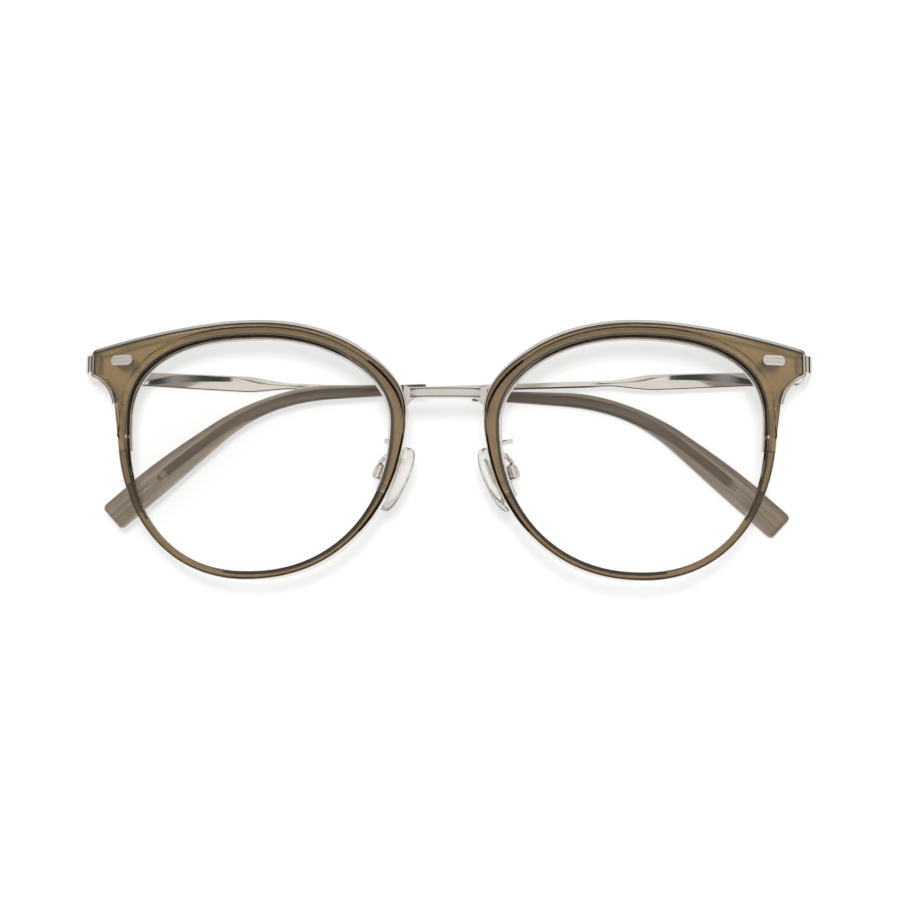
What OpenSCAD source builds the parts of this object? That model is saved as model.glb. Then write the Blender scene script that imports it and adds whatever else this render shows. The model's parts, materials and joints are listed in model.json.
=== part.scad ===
// Browline glasses: clear lenses in translucent brown acetate rims. A silver metal rim
// runs round the outside of each and carries the bridge, the nose pads and the temples.
// The glasses lie folded on a table with the front facing up.
// X runs to the wearer's left, Y up the front, Z away from the table. Sizes are in mm.

/* [Lenses] */
// Width of one lens
lens_w = 51.5; // [46:0.1:56]
// Height of one lens
lens_h = 46; // [42:0.1:50]
// Distance between the two lenses
bridge_w = 19.5; // [17:0.1:24]
// Thickness of a lens
lens_t = 1.9; // [1.6:0.1:2.2]
// Radius of the front's curve
base_r = 150; // [120:5:300]
// Angle by which each side of the front leans back
face_form = 5; // [2:0.5:7]
// Depth of the groove that holds a lens
groove_depth = 0.5; // [0.4:0.02:0.8]
// Gap between a lens and its groove
lens_gap = 0.04; // [0.02:0.01:0.08]

/* [Acetate rims] */
// Width of the rim below the lens
rim_w = 1.36; // [1.1:0.02:2]
// Extra width of the rim above the lens
brow_extra = 0.98; // [0.8:0.05:1.6]
// Extra width where the brow meets the bridge
nose_extra = 0.76; // [0.3:0.02:1]
// Thickness of the rim
rim_t = 2.6; // [2.5:0.1:3.2]
// Height of the raised brow over the rim
brow_rise = 0.5; // [0.3:0.05:0.8]
// Width of the low rim that shows inside the brow
brow_inset = 1.35; // [1.1:0.05:1.5]
// How far an end-piece reaches past the lens
endpiece_out = 6.75; // [6:0.1:8.5]
// Distance from the top of the lens down to the end-piece's corner
endpiece_drop = 2.85; // [2:0.05:4]
// Height of the end-piece's outer edge
endpiece_h = 4.2; // [3.8:0.1:5]
// Radius of the hollow under the end-piece
scoop_r = 7.8; // [6.5:0.1:9]
// Radius of the end-piece's corners
corner_r = 0.45; // [0.3:0.05:0.6]

/* [Metal rims and bridge] */
// Width of the metal edge that shows above the brow
edge_w = 0.6; // [0.4:0.05:0.8]
// Width of the metal edge that shows at the nose
nose_edge_w = 0.2; // [0.1:0.05:0.4]
// Width of the metal edge inside the acetate's back
edge_in = 0.35; // [0.25:0.05:0.45]
// Distance of the metal edge behind the face of the low rim
edge_set = 0.9; // [0.6:0.05:1.2]
// Thickness of the metal plate behind the upper half of the acetate
plate_t = 0.6; // [0.5:0.05:1]
// Width of the plate that shows inside the opening
plate_lip = 0.3; // [0.2:0.05:0.4]
// Gap between the metal and the acetate
seat_gap = 0.03; // [0.01:0.01:0.05]
// Height of the bridge bar
bridge_h = 2.1; // [1.6:0.1:2.8]
// Thickness of the bridge bar
bridge_t = 1.5; // [1.2:0.1:2]
// Height of the bridge above the lens centre
bridge_y = 11.3; // [9:0.1:13]
// Forward bow of the bridge
bridge_bow = 1.1; // [0.6:0.1:1.6]

/* [End lugs and rivets] */
// Thickness of the metal lug
lug_t = 1.2; // [1:0.05:1.5]
// Height of the metal lug
lug_h = 3.2; // [2.9:0.1:3.6]
// How far the lug stands out past the end-piece
lug_out = 2.1; // [1.8:0.1:2.6]
// Length of a rivet plaque
plaque_w = 4.3; // [3.6:0.1:5]
// Height of a rivet plaque
plaque_h = 2; // [1.6:0.1:2.4]
// Thickness of a rivet plaque
plaque_t = 0.45; // [0.3:0.05:0.7]
// Distance of a plaque's middle from the end-piece's outer edge
plaque_in = 5.4; // [4.8:0.1:6]
// Radius of a rivet
rivet_r = 0.4; // [0.3:0.02:0.5]

/* [Hinges] */
// Distance of the hinge axis behind the lens
hinge_back = 20.6; // [19:0.1:22]
// Radius of a hinge barrel
barrel_r = 1; // [0.9:0.05:1.2]
// Radius of a hinge screw
screw_r = 0.5; // [0.4:0.02:0.6]
// Radial gap between the screw and the temple's barrel
pin_gap = 0.04; // [0.02:0.01:0.08]
// Gap between moving hinge faces
hinge_gap = 0.1; // [0.06:0.01:0.15]
// Overhang of a temple past its hinge axis
overhang = 0.9; // [0.7:0.05:1]
// Angle the wearer's left temple is folded past the front, so that it lies inside the other
left_over = 3; // [2.5:0.1:4]
// Angle by which the wearer's right temple stops short of the front
right_short = 2; // [1:0.1:2.5]

/* [Temples] */
// Thickness of the metal arm
arm_t = 1.2; // [1.1:0.05:1.5]
// Height of the metal arm at its hinge
arm_h = 2.75; // [2.4:0.05:3.1]
// Height of the metal arm at its widest
arm_wide = 3.2; // [3:0.05:3.6]
// Height of the thin part of the arm
wire_h = 1.1; // [0.9:0.05:1.3]
// Distance from the hinge to the widest part of the arm
wide_at = 27; // [24:0.5:30]
// Distance from the hinge to the start of the thin part
thin_at = 37; // [34:0.5:42]
// Distance from the hinge to the acetate tip
tip_at = 71.5; // [66:0.5:78]
// Distance from the hinge to the bend
bend_at = 89.4; // [86:0.2:94]
// Length of a temple from its hinge along its middle
temple_len = 139.6; // [134:0.2:150]
// Downward slope of a temple
slope = 2.5; // [1.5:0.1:3.5]
// Angle of the bend
bend_angle = 35.5; // [30:0.5:42]
// Radius of the bend
bend_r = 38.5; // [34:0.5:46]
// Height of the acetate tip where it starts
tip_h0 = 2.2; // [2:0.05:2.6]
// Height of the acetate tip at its end
tip_h1 = 5.8; // [5:0.1:6.6]
// Thickness of the acetate tip where it starts
tip_t0 = 2.2; // [2:0.05:2.5]
// Thickness of the acetate tip at its end
tip_t1 = 2.6; // [2.3:0.05:3]
// Distance from the core's end to the end of the tip
core_end = 11.5; // [8:0.5:16]
// Gap between the core and the acetate tip
core_gap = 0.05; // [0.02:0.01:0.08]

/* [Nose pads] */
// Length of a nose pad
pad_l = 13.4; // [12:0.2:15]
// Width of a nose pad
pad_w = 7.8; // [6.5:0.1:8.4]
// Thickness of a nose pad
pad_t = 2.6; // [2.2:0.1:3]
// Distance from the middle of the nose to a pad's middle
pad_x = 10.3; // [9.4:0.1:11]
// Height of a pad's middle above the lens centre
pad_y = -3.8; // [-6:0.1:-3]
// Distance of a pad's middle behind the lens
pad_back = 9.6; // [9:0.1:11]
// Lean of a pad, seen from the front
pad_lean = 22; // [18:1:26]
// Splay of a pad, seen from above
pad_splay = 35; // [28:1:40]
// Radius of a pad arm's wire
pad_wire_r = 0.5; // [0.4:0.05:0.55]
// Radius of a pad screw
pad_screw_r = 0.35; // [0.3:0.01:0.4]

/* [Hidden] */
$fn = 48;
SPHERE_FN = 200;

// Shape of the lens: where its four sides are furthest out, and how square each quarter is
APEX_TOP = 0.7;
APEX_BOTTOM = 1.05;
APEX_TEMPLE = 6.5;
APEX_NOSE = 5.4;
SQUARE_TOP_TEMPLE = 2.48;
SQUARE_TOP_NOSE = 2.03;
SQUARE_LOW_NOSE = 2.15;
SQUARE_LOW_TEMPLE = 2.23;
half_w = lens_w / 2 - groove_depth;
half_h = lens_h / 2 - groove_depth;
centre_x = (lens_w + bridge_w) / 2;

// Angles round the lens, from the temple side over the top
TOP_START = 78;
BROW_END = 181.5;
PLATE_END = 205;
EDGE_END = 282;
LOW_JOIN = 356;
RING_STEPS = 76;
OUTLINE_STEPS = 96;

// The front's depths are measured back from the face of the low rim
back_of_rim = rim_t;
back_of_plate = rim_t + seat_gap + plate_t;
back_of_lug = back_of_plate + lug_t;
lens_front = (rim_t - lens_t) / 2;
tongue_t = lens_t / 2;
tongue_front = (rim_t - tongue_t) / 2;

// The end-piece
end_u = lens_w / 2 + endpiece_out;
end_top = lens_h / 2 - endpiece_drop;
end_low = end_top - endpiece_h;
end_mid = (end_top + end_low) / 2;
SCOOP_IN = 3;
SCOOP_STOP = 171;

// The hinge: its axis runs along Y
front_y = end_mid;
lug_x = rim_spot(end_u, end_mid, rim_t)[0] + lug_out;
axis_x = lug_x - lug_t - hinge_gap - barrel_r;
arm_face = barrel_r + hinge_gap;
axis_z = -hinge_back;
END_CHAMFER = 0.3;
STOP_GAP = 0.15;
lug_end_z = axis_z + overhang + STOP_GAP;
KNUCKLE_GAP = 0.05;
knuckle_h = (lug_h - 2 * KNUCKLE_GAP) / 3;

// The wearer's right temple lies flat on the table, so the front leans by right_short
rest_x = (lug_end_z + rim_spot(end_u, end_mid, 0)[2]) / 2 * sin(right_short);
rest_y = -(beside_opening(270, acetate_w(270) + edge_out(270))[1]
    + beside_opening(90, acetate_w(90) + edge_out(90))[1]) / 2;
rest_z = axis_x * sin(right_short) - axis_z * cos(right_short) + arm_face + arm_t;

// The pad box, in the pad's own directions
box_l = 3.2;
box_w = 2.4;
box_wall = 0.32;
box_near = pad_t / 2 + 0.6;
box_far = box_near + 2.1;
pad_axis = box_near + 1;

// Which node is drawn

function clamp01(x) = min(1, max(0, x));
function ease(x) = let (c = clamp01(x)) c * c * (3 - 2 * c);
function bump(x, middle, reach) = abs(x - middle) > reach ? 0
    : 0.5 + 0.5 * cos(180 * (x - middle) / reach);
function unit(v) = v / norm(v);
function turned(x) = x > 270 ? x - 360 : x;
function power(x, e) = sign(x) * pow(abs(x), e);

// A point of the lens opening at an angle round it
function opening_point(t) =
    let (c = cos(t), s = sin(t))
    let (u0 = s >= 0 ? APEX_TOP : APEX_BOTTOM, v0 = c >= 0 ? APEX_TEMPLE : APEX_NOSE)
    let (a = half_w - sign(c) * u0, b = half_h - sign(s) * v0)
    let (square = s >= 0
        ? (c >= 0 ? SQUARE_TOP_TEMPLE : SQUARE_TOP_NOSE)
        : (c >= 0 ? SQUARE_LOW_TEMPLE : SQUARE_LOW_NOSE))
    [u0 + a * power(c, 2 / square), v0 + b * power(s, 2 / square)];
function opening_normal(t) =
    let (d = opening_point(t + 1) - opening_point(t - 1))
    unit([d[1], -d[0]]);
function beside_opening(t, w) = opening_point(t) + w * opening_normal(t);

// Width of the acetate at an angle round the lens
function climb(t) = t >= 90 && t <= 270 ? (225 - t) / 60 : (turned(t) + 45) / 95;
function acetate_w(t) = rim_w + brow_extra * ease(climb(t)) + nose_extra * bump(t, 164, 30);
function low_rim_w(t) =
    acetate_w(t) - 0.7 * (t > 180 ? 0 : ease(t / 30) * ease((BROW_END - 3 - t) / 20));
function brow_edge(t) =
    brow_inset + (acetate_w(BROW_END) - 0.12 - brow_inset) * ease((t - BROW_END + 42) / 42);

// Helper shapes for outlines
function fillet(a, b, c, r, steps) =
    let (d1 = unit(a - b), d2 = unit(c - b))
    let (half = acos(d1 * d2) / 2)
    let (middle = b + unit(d1 + d2) * r / sin(half))
    let (p1 = b + d1 * r / tan(half) - middle, p2 = b + d2 * r / tan(half) - middle)
    let (a1 = atan2(p1[1], p1[0]), turn = atan2(p2[1], p2[0]) - a1)
    let (sweep = turn > 180 ? turn - 360 : (turn < -180 ? turn + 360 : turn))
    [for (i = [0:steps]) middle + r * [cos(a1 + sweep * i / steps), sin(a1 + sweep * i / steps)]];
function curve(p0, p1, p2, k) = (1 - k) * (1 - k) * p0 + 2 * k * (1 - k) * p1 + k * k * p2;

// The end-piece's outline, from the low join up and round to the start of the top
scoop_middle = [end_u + SCOOP_IN, end_low - sqrt(scoop_r * scoop_r - SCOOP_IN * SCOOP_IN)];
scoop_start = atan2(end_low - scoop_middle[1], -SCOOP_IN);
scoop = [for (i = [0:9])
    let (a = SCOOP_STOP + (scoop_start + 4 - SCOOP_STOP) * i / 9)
    scoop_middle + scoop_r * [cos(a), sin(a)]];
top_point = beside_opening(TOP_START, acetate_w(TOP_START));
top_normal = opening_normal(TOP_START);
top_bend = top_point + 12.4 * [top_normal[1], -top_normal[0]];
end_corner = [end_u, end_top];
end_edge = concat(
    fillet(scoop[9], [end_u, end_low], end_corner, corner_r, 4),
    fillet([end_u, end_low], end_corner, top_bend, corner_r, 4));
top_edge = [for (i = [1:11]) curve(end_corner, top_bend, top_point, i / 12)];
endpiece = concat(scoop, end_edge, top_edge);
function ring_angle(i, last) = TOP_START + (last - TOP_START) * i / RING_STEPS;
acetate_outline = concat(
    [for (i = [0:RING_STEPS]) let (t = ring_angle(i, LOW_JOIN)) beside_opening(t, acetate_w(t))],
    endpiece);
brow_outline = concat(
    [for (t = [TOP_START:4:BROW_END]) beside_opening(t, acetate_w(t))],
    [for (t = [BROW_END:-4:-3]) beside_opening(t, brow_edge(t))],
    [beside_opening(LOW_JOIN, brow_inset), beside_opening(LOW_JOIN, acetate_w(LOW_JOIN))],
    endpiece);
low_rim_outline = [for (i = [0:OUTLINE_STEPS - 1])
    let (t = 360 * i / OUTLINE_STEPS)
    beside_opening(t, low_rim_w(t))];

// The metal rim follows the outside of the acetate, apart from the lower temple side
function outline_angle(i) = i <= RING_STEPS ? ring_angle(i, LOW_JOIN) : 0;
function has_edge(i) = i > RING_STEPS || outline_angle(i) < EDGE_END;
function has_plate(i) = i > RING_STEPS || outline_angle(i) < PLATE_END;
function edge_out(t) = edge_w
    + (nose_edge_w - edge_w) * ease((t - 120) / 50)
    - (nose_edge_w - 0.08) * ease((t - 180) / 60);
function outward(list, i) =
    let (n = len(list))
    let (d = list[(i + 1) % n] - list[(i + n - 1) % n])
    unit([d[1], -d[0]]);
function beside_acetate(i, w) = acetate_outline[i] + w * outward(acetate_outline, i);
last_point = len(acetate_outline) - 1;
metal_outline = [for (i = [0:last_point])
    beside_acetate(i, has_edge(i) ? edge_out(outline_angle(i)) : -edge_in - 0.3)];
rabbet_outline = [for (i = [0:last_point])
    beside_acetate(i, has_edge(i) ? -edge_in - seat_gap : 0.3)];
pocket_outline = [for (i = [0:last_point])
    beside_acetate(i, -edge_in + (has_edge(i) ? 0 : 1))];
plate_hole = concat(
    [for (i = [0:RING_STEPS]) let (t = outline_angle(i))
        has_plate(i) ? beside_opening(t, -plate_lip)
        : beside_acetate(i, -edge_in + (has_edge(i) ? -0.02 : 1))],
    [for (t = [0:6:TOP_START - 6]) beside_opening(t, -plate_lip)]);
function ring_outline(w) = [for (i = [0:OUTLINE_STEPS - 1])
    beside_opening(360 * i / OUTLINE_STEPS, w)];

// Where a spot of the wearer's left rim is: across, up, and back from the rim's face
function rim_spot(u, v, d) =
    let (z = sqrt((base_r - d) * (base_r - d) - u * u - v * v) - base_r)
    [centre_x + u * cos(face_form) + z * sin(face_form), v, z * cos(face_form) - u * sin(face_form)];

// Middle line of a temple: distance s from the hinge gives a point and a heading
bend_arc = bend_r * bend_angle * PI / 180;
function heading(s) = s < bend_at ? slope
    : s < bend_at + bend_arc ? slope + (s - bend_at) / bend_r * 180 / PI
    : slope + bend_angle + (s - bend_at - bend_arc) * 0.16;
TRACK_STEP = 1.5;
track_steps = ceil((temple_len + 2) / TRACK_STEP);
function track(i, p) = i == 0 ? [p]
    : let (h = heading((track_steps - i + 0.5) * TRACK_STEP))
    concat([p], track(i - 1, p + TRACK_STEP * [cos(h), -sin(h)]));
temple_track = track(track_steps, [0, 0]);
function temple_point(s) =
    let (i = floor(clamp01(s / TRACK_STEP / track_steps) * track_steps))
    let (k = s / TRACK_STEP - i, h = heading(s))
    temple_track[i] + k * TRACK_STEP * [cos(h), -sin(h)];

// Size of the metal arm and of the acetate tip at a distance s
core_len = temple_len - core_end;
function arm_height(s) = s < wide_at
    ? arm_h + (arm_wide - arm_h) * ease(s / wide_at)
    : s < thin_at ? arm_wide + (wire_h - arm_wide) * ease((s - wide_at) / (thin_at - wide_at))
    : s < bend_at ? wire_h
    : wire_h + 0.5 * ease((s - bend_at) / (core_len - bend_at));
function arm_middle(s) = (tip_t(s) - arm_t) / 2 * ease((s - thin_at) / (tip_at - thin_at));
function tip_h(s) = tip_h0 + (tip_h1 - tip_h0)
    * (0.2 * ease((s - tip_at - 6) / 18) + 0.8 * ease((s - tip_at - 28) / 32));
function tip_t(s) = tip_t0 + (tip_t1 - tip_t0) * ease((s - tip_at) / 60);

// A closed tube through rings of points
module tube(rings) {
    sides = len(rings[0]);
    last = len(rings) - 1;
    walls = [for (i = [0:last - 1], j = [0:sides - 1], k = [0:1])
        let (a = i * sides + j, b = i * sides + (j + 1) % sides)
        k == 0 ? [a, b + sides, b] : [a, a + sides, b + sides]];
    ends = [
        [for (j = [0:sides - 1]) j],
        [for (j = [sides - 1:-1:0]) last * sides + j]];
    polyhedron([for (r = rings) each r], concat(walls, ends), convexity = 8);
}

// A ring across the temple: height and thickness, with its outer face at z
function temple_ring(s, section, z) =
    let (p = temple_point(s), h = heading(s))
    [for (q = section) [p[0] + q[0] * sin(h), p[1] + q[0] * cos(h), z + q[1]]];
function box_section(h, t, c) = [
    [-h / 2 + c, 0], [h / 2 - c, 0], [h / 2, c], [h / 2, t - c],
    [h / 2 - c, t], [-h / 2 + c, t], [-h / 2, t - c], [-h / 2, c]];
function round_section(h, t) =
    let (c = min(h, t) * 0.42)
    [for (k = [0:3], i = [0:3])
        let (a = 90 * k + 30 * i - 90)
        let (y = k == 0 || k == 1 ? 1 : -1, z = k == 1 || k == 2 ? 1 : -1)
        [y * (h / 2 - c) + c * cos(a), t / 2 + z * (t / 2 - c) + c * sin(a)]];

// Solids of the curved front
module ball(depth) {
    translate([0, 0, -base_r])
        sphere(r = base_r - depth, $fn = SPHERE_FN);
}
module through(outline) {
    translate([0, 0, -24])
        linear_extrude(height = 32)
            polygon(outline);
}
module at_left_rim() {
    translate([centre_x, 0, 0])
        rotate([0, face_form, 0])
            children();
}
module side(left) {
    mirror([left ? 0 : 1, 0, 0])
        children();
}
module lying() {
    translate([rest_x, rest_y, rest_z])
        rotate([0, -right_short, 0])
            children();
}
module placed(left) {
    lying()
        side(left)
            children();
}
module at_plaque() {
    up_angle = asin(end_mid / base_r);
    out_angle = atan((end_u - plaque_in) / base_r);
    at_left_rim()
        translate([0, 0, -base_r])
            rotate([0, out_angle, 0])
                rotate([-up_angle, 0, 0])
                    translate([0, 0, base_r])
                        children();
}
module rivet_pair(r, from, to) {
    at_plaque()
        for (x = [-1, 1] * plaque_w / 4)
            translate([x, 0, from])
                cylinder(r = r, h = to - from);
}

module acetate_rim(left) {
    color("#837154")
        placed(left)
            difference() {
                at_left_rim()
                    difference() {
                        union() {
                            intersection() {
                                through(low_rim_outline);
                                ball(0);
                            }
                            intersection() {
                                through(brow_outline);
                                ball(-brow_rise);
                            }
                        }
                        ball(back_of_rim);
                        difference() {
                            ball(edge_set - seat_gap);
                            through(rabbet_outline);
                        }
                        through(ring_outline(0));
                        intersection() {
                            through(ring_outline(groove_depth));
                            difference() {
                                ball(tongue_front - lens_gap);
                                ball(tongue_front + tongue_t + lens_gap);
                            }
                        }
                    }
                rivet_pair(rivet_r + seat_gap, -10, 2);
            }
}

module metal_rim(left) {
    color("#cbc5bd")
        placed(left)
            difference() {
                at_left_rim()
                    difference() {
                        intersection() {
                            through(metal_outline);
                            ball(edge_set);
                        }
                        ball(back_of_plate);
                        through(plate_hole);
                        difference() {
                            through(pocket_outline);
                            ball(back_of_rim + seat_gap);
                        }
                    }
                rivet_pair(rivet_r + seat_gap, -10, 2);
            }
}

module lens(left) {
    color("#e8f0f4", 0.3)
        placed(left)
            at_left_rim() {
                intersection() {
                    through(ring_outline(-lens_gap));
                    difference() {
                        ball(lens_front);
                        ball(lens_front + lens_t);
                    }
                }
                intersection() {
                    through(ring_outline(groove_depth - lens_gap));
                    difference() {
                        ball(tongue_front);
                        ball(tongue_front + tongue_t);
                    }
                }
            }
}

// The bridge bar is bowed forward and flares where it meets the metal rims
module bridge() {
    span = centre_x - half_w;
    bridge_z = rim_spot(-half_w - 1, bridge_y, edge_set + 0.1)[2];
    bow_r = (span * span + bridge_bow * bridge_bow) / (2 * bridge_bow);
    color("#cbc5bd")
        lying()
        difference() {
            intersection() {
                translate([0, bridge_y, 0])
                    rotate([90, 0, 0])
                        linear_extrude(height = 6 * bridge_h, center = true)
                            translate([0, bridge_z + bridge_bow - bow_r])
                                difference() {
                                    circle(r = bow_r, $fn = 200);
                                    circle(r = bow_r - bridge_t, $fn = 200);
                                    translate([0, -bow_r])
                                        square([4 * bow_r, 2 * bow_r], center = true);
                                }
                translate([0, bridge_y, bridge_z - 3 * bridge_t])
                    linear_extrude(height = 6 * bridge_t)
                        polygon(bridge_outline(span));
            }
            for (left = [true, false])
                side(left)
                    at_left_rim()
                        through(metal_outline);
        }
}
function bridge_outline(span) =
    let (h = bridge_h / 2, x0 = span * 0.46, x1 = span * 0.86)
    let (flare = [for (i = [0:10]) let (x = x0 + (x1 - x0) * i / 10)
        [x, 1.7 * pow(max(0, (x - x0 - 0.5) / (span * 0.205)), 2)]])
    concat(
        [for (p = flare) [p[0], h + 0.25 * p[1]]],
        [for (i = [10:-1:0]) [flare[i][0], -h - flare[i][1]]],
        [for (p = flare) [-p[0], -h - p[1]]],
        [for (i = [10:-1:0]) [-flare[i][0], h + 0.25 * flare[i][1]]]);

// The lug hugs the back of the end-piece, turns the corner and runs back to the hinge
module end_lug(left) {
    plate_in = end_u - 8;
    corner = 1.4;
    front_z = rim_spot(end_u, end_mid, 0.9)[2];
    color("#c4beb6")
        placed(left)
            difference() {
                union() {
                    at_left_rim()
                        intersection() {
                            translate([plate_in, front_y - lug_h / 2, -24])
                                cube([end_u + 1 - plate_in, lug_h, 32]);
                            difference() {
                                ball(0);
                                ball(back_of_lug);
                            }
                        }
                    translate([0, front_y + lug_h / 2, 0])
                        rotate([90, 0, 0])
                            linear_extrude(height = lug_h)
                                polygon(concat(
                                    [[lug_x - lug_t, lug_end_z], [lug_x, lug_end_z]],
                                    fillet([lug_x, lug_end_z], [lug_x, front_z],
                                        [lug_x - 4, front_z], corner, 6),
                                    [[lug_x - 3.4, front_z], [lug_x - 3.4, front_z - 4.6],
                                    [lug_x - lug_t, front_z - 6]]));
                }
                at_left_rim()
                    difference() {
                        through(metal_outline);
                        ball(back_of_plate);
                    }
                rivet_pair(rivet_r, -12, 2);
            }
}

// A ridged plaque on the brow, with two rivets through to the lug
module rivet_plaque(left) {
    cut = plaque_h * 0.28;
    outline = [
        [-plaque_w / 2, -plaque_h / 2 + cut], [-plaque_w / 2 + cut, -plaque_h / 2],
        [plaque_w / 2 - cut, -plaque_h / 2], [plaque_w / 2, -plaque_h / 2 + cut],
        [plaque_w / 2, plaque_h / 2 - cut], [plaque_w / 2 - cut, plaque_h / 2],
        [-plaque_w / 2 + cut, plaque_h / 2], [-plaque_w / 2, plaque_h / 2 - cut]];
    color("#d4cec6")
        placed(left) {
            at_plaque()
                translate([0, 0, brow_rise])
                    difference() {
                        translate([0, 0, -0.1])
                            linear_extrude(height = plaque_t + 0.1)
                                polygon(outline);
                        translate([0, 0, -brow_rise])
                            ball(-brow_rise);
                        for (y = [-1, 1] * plaque_h / 6)
                            translate([-plaque_w / 2 - 1, y - 0.08, plaque_t - 0.12])
                                cube([plaque_w + 2, 0.16, 1]);
                    }
            rivet_pair(rivet_r, -back_of_lug + 0.1, brow_rise);
        }
}

// Barrels of a hinge: a stack of pieces on the axis, each from low to high
module barrel(low, high) {
    translate([0, high, 0])
        rotate([90, 0, 0])
            cylinder(r = barrel_r, h = high - low);
}
module axis_bore(r) {
    translate([0, 6, 0])
        rotate([90, 0, 0])
            cylinder(r = r, h = 12);
}
module at_left_axis() {
    translate([axis_x, front_y, axis_z])
        children();
}

module front_hinge(left) {
    low = -lug_h / 2;
    leaf_low = overhang + STOP_GAP;
    color("#b9b3aa")
        placed(left)
            at_left_axis()
                difference() {
                    union() {
                        translate([-barrel_r + 0.2, low, leaf_low])
                            cube([barrel_r * 2 - 0.2 + hinge_gap, lug_h, 3.4]);
                        for (y = [low, low + lug_h - knuckle_h]) {
                            barrel(y, y + knuckle_h);
                            translate([-barrel_r + 0.2, y, 0])
                                cube([barrel_r * 1.2, knuckle_h, leaf_low + 0.1]);
                        }
                    }
                    axis_bore(screw_r);
                    translate([0, lug_h / 2 + 0.01, 0])
                        rotate([90, 0, 0])
                            cylinder(r = screw_r + 0.3 + seat_gap, h = 0.46);
                }
}

module hinge_screw(left) {
    color("#d8d4cc")
        placed(left)
            at_left_axis()
                difference() {
                    union() {
                        translate([0, lug_h / 2 + 0.1, 0])
                            rotate([90, 0, 0])
                                cylinder(r = screw_r + 0.3, h = 0.55);
                        translate([0, lug_h / 2 - 0.2, 0])
                            rotate([90, 0, 0])
                                cylinder(r = screw_r, h = lug_h);
                    }
                    translate([-2, lug_h / 2 - 0.1, -0.1])
                        cube([4, 1, 0.2]);
                }
}

// The temples are drawn as the wearer's right one, which lies flat, with the hinge axis at 0
module at_temple(left) {
    placed(left)
        mirror([1, 0, 0])
            translate([-axis_x, front_y, axis_z])
                rotate([0, left ? -left_over : right_short, 0])
                    children();
}

module temple_hinge(left) {
    low = -lug_h / 2 + knuckle_h + KNUCKLE_GAP;
    high = low + knuckle_h;
    leaf_from = barrel_r + 0.4;
    color("#b9b3aa")
        at_temple(left)
            difference() {
                union() {
                    barrel(low, high);
                    translate([-0.7, low, -arm_face])
                        cube([barrel_r * 1.4 + 1, high - low, arm_face]);
                    translate([leaf_from, -1.1, -arm_face])
                        cube([4.2, 2.2, 0.6]);
                }
                axis_bore(screw_r + pin_gap);
            }
}

module temple_arm(left) {
    floor_z = -arm_face - arm_t;
    color("#cbc5bd")
        at_temple(left)
            translate([0, 0, floor_z])
                tube(concat(
                    [temple_ring(-overhang, box_section(arm_h, arm_t - END_CHAMFER, 0.25), END_CHAMFER)],
                    [for (s = [-overhang + END_CHAMFER, 2, 8, 14, 20, wide_at])
                        temple_ring(s, box_section(arm_height(s), arm_t, 0.25), 0)],
                    [for (i = [1:12])
                        let (s = wide_at + (tip_at - wide_at) * i / 12)
                        temple_ring(s, box_section(arm_height(s), arm_t, 0.3), arm_middle(s))],
                    [for (i = [1:14])
                        let (s = tip_at + (core_len - 2 - tip_at) * i / 14)
                        temple_ring(s, box_section(arm_height(s), arm_t, 0.3), arm_middle(s))],
                    [temple_ring(core_len, box_section(0.7, arm_t - 0.5, 0.1), arm_middle(core_len) + 0.25)]));
}

module temple_tip(left) {
    floor_z = -arm_face - arm_t;
    steps = 20;
    g = core_gap;
    color("#93857a", 0.85)
        at_temple(left)
            translate([0, 0, floor_z])
                difference() {
                    tube(concat(
                        [for (i = [0:steps])
                            let (s = tip_at + (temple_len - 0.5 - tip_at) * i / steps)
                            temple_ring(s, round_section(tip_h(s), tip_t(s)), 0)],
                        [temple_ring(temple_len, round_section(tip_h1 - 0.8, tip_t1 - 0.8), 0.4)]));
                    tube(concat(
                        [for (i = [-1:14])
                            let (s = tip_at + (core_len - 2 - tip_at) * i / 14)
                            temple_ring(s, box_section(arm_height(s) + 2 * g, arm_t + 2 * g, 0.3),
                                arm_middle(s) - g)],
                        [temple_ring(core_len + g, box_section(0.7 + 2 * g, arm_t - 0.5 + 2 * g, 0.1),
                            arm_middle(core_len) + 0.25 - g)]));
                }
}

// The pad's own directions: X away from the nose, Y along the pad, Z towards the front
module at_pad() {
    translate([pad_x, pad_y, -pad_back])
        rotate([0, 0, pad_lean])
            rotate([0, -pad_splay, 0])
                children();
}

module nose_pad(left) {
    color("#e6e6e2", 0.6)
        placed(left)
            at_pad()
                difference() {
                    tube([for (i = [0:12]) pad_ring(i / 12)]);
                    translate([-0.1, -pad_l * 0.3 - 0.05, -pad_w * 0.22 - 0.05])
                        cube([pad_t, pad_l * 0.6 + 0.1, pad_w * 0.44 + 0.1]);
                }
}
// The pad is fuller at its upper end
function pad_ring(k) =
    let (a = 180 * k, y = -pad_l / 2 * cos(a))
    let (r = max(0.05, sin(a)))
    let (w = pad_w / 2 * pow(r, 0.8) * (1 - 0.14 * cos(a)), t = pad_t / 2 * pow(r, 0.6))
    [for (j = [0:15])
        let (b = 22.5 * j)
        [t * power(cos(b), 0.8) - 0.5 * (1 - r), y, -w * power(sin(b), 0.9)]];

// A stiff insert in the soft pad, with the post that the pad screw goes through
module pad_insert(left) {
    post_w = box_w - 2 * box_wall - 0.4;
    color("#dcdcd6", 0.8)
        placed(left)
            at_pad()
                difference() {
                    union() {
                        translate([0, -pad_l * 0.3, -pad_w * 0.22])
                            cube([pad_t / 2 - 0.35, pad_l * 0.6, pad_w * 0.44]);
                        translate([0.2, -0.8, -post_w / 2])
                            cube([pad_axis - 0.2, 1.6, post_w]);
                        translate([pad_axis, 0, -post_w / 2])
                            cylinder(r = 0.8, h = post_w);
                    }
                    translate([pad_axis, 0, -3])
                        cylinder(r = pad_screw_r + pin_gap, h = 6);
                }
}

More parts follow.
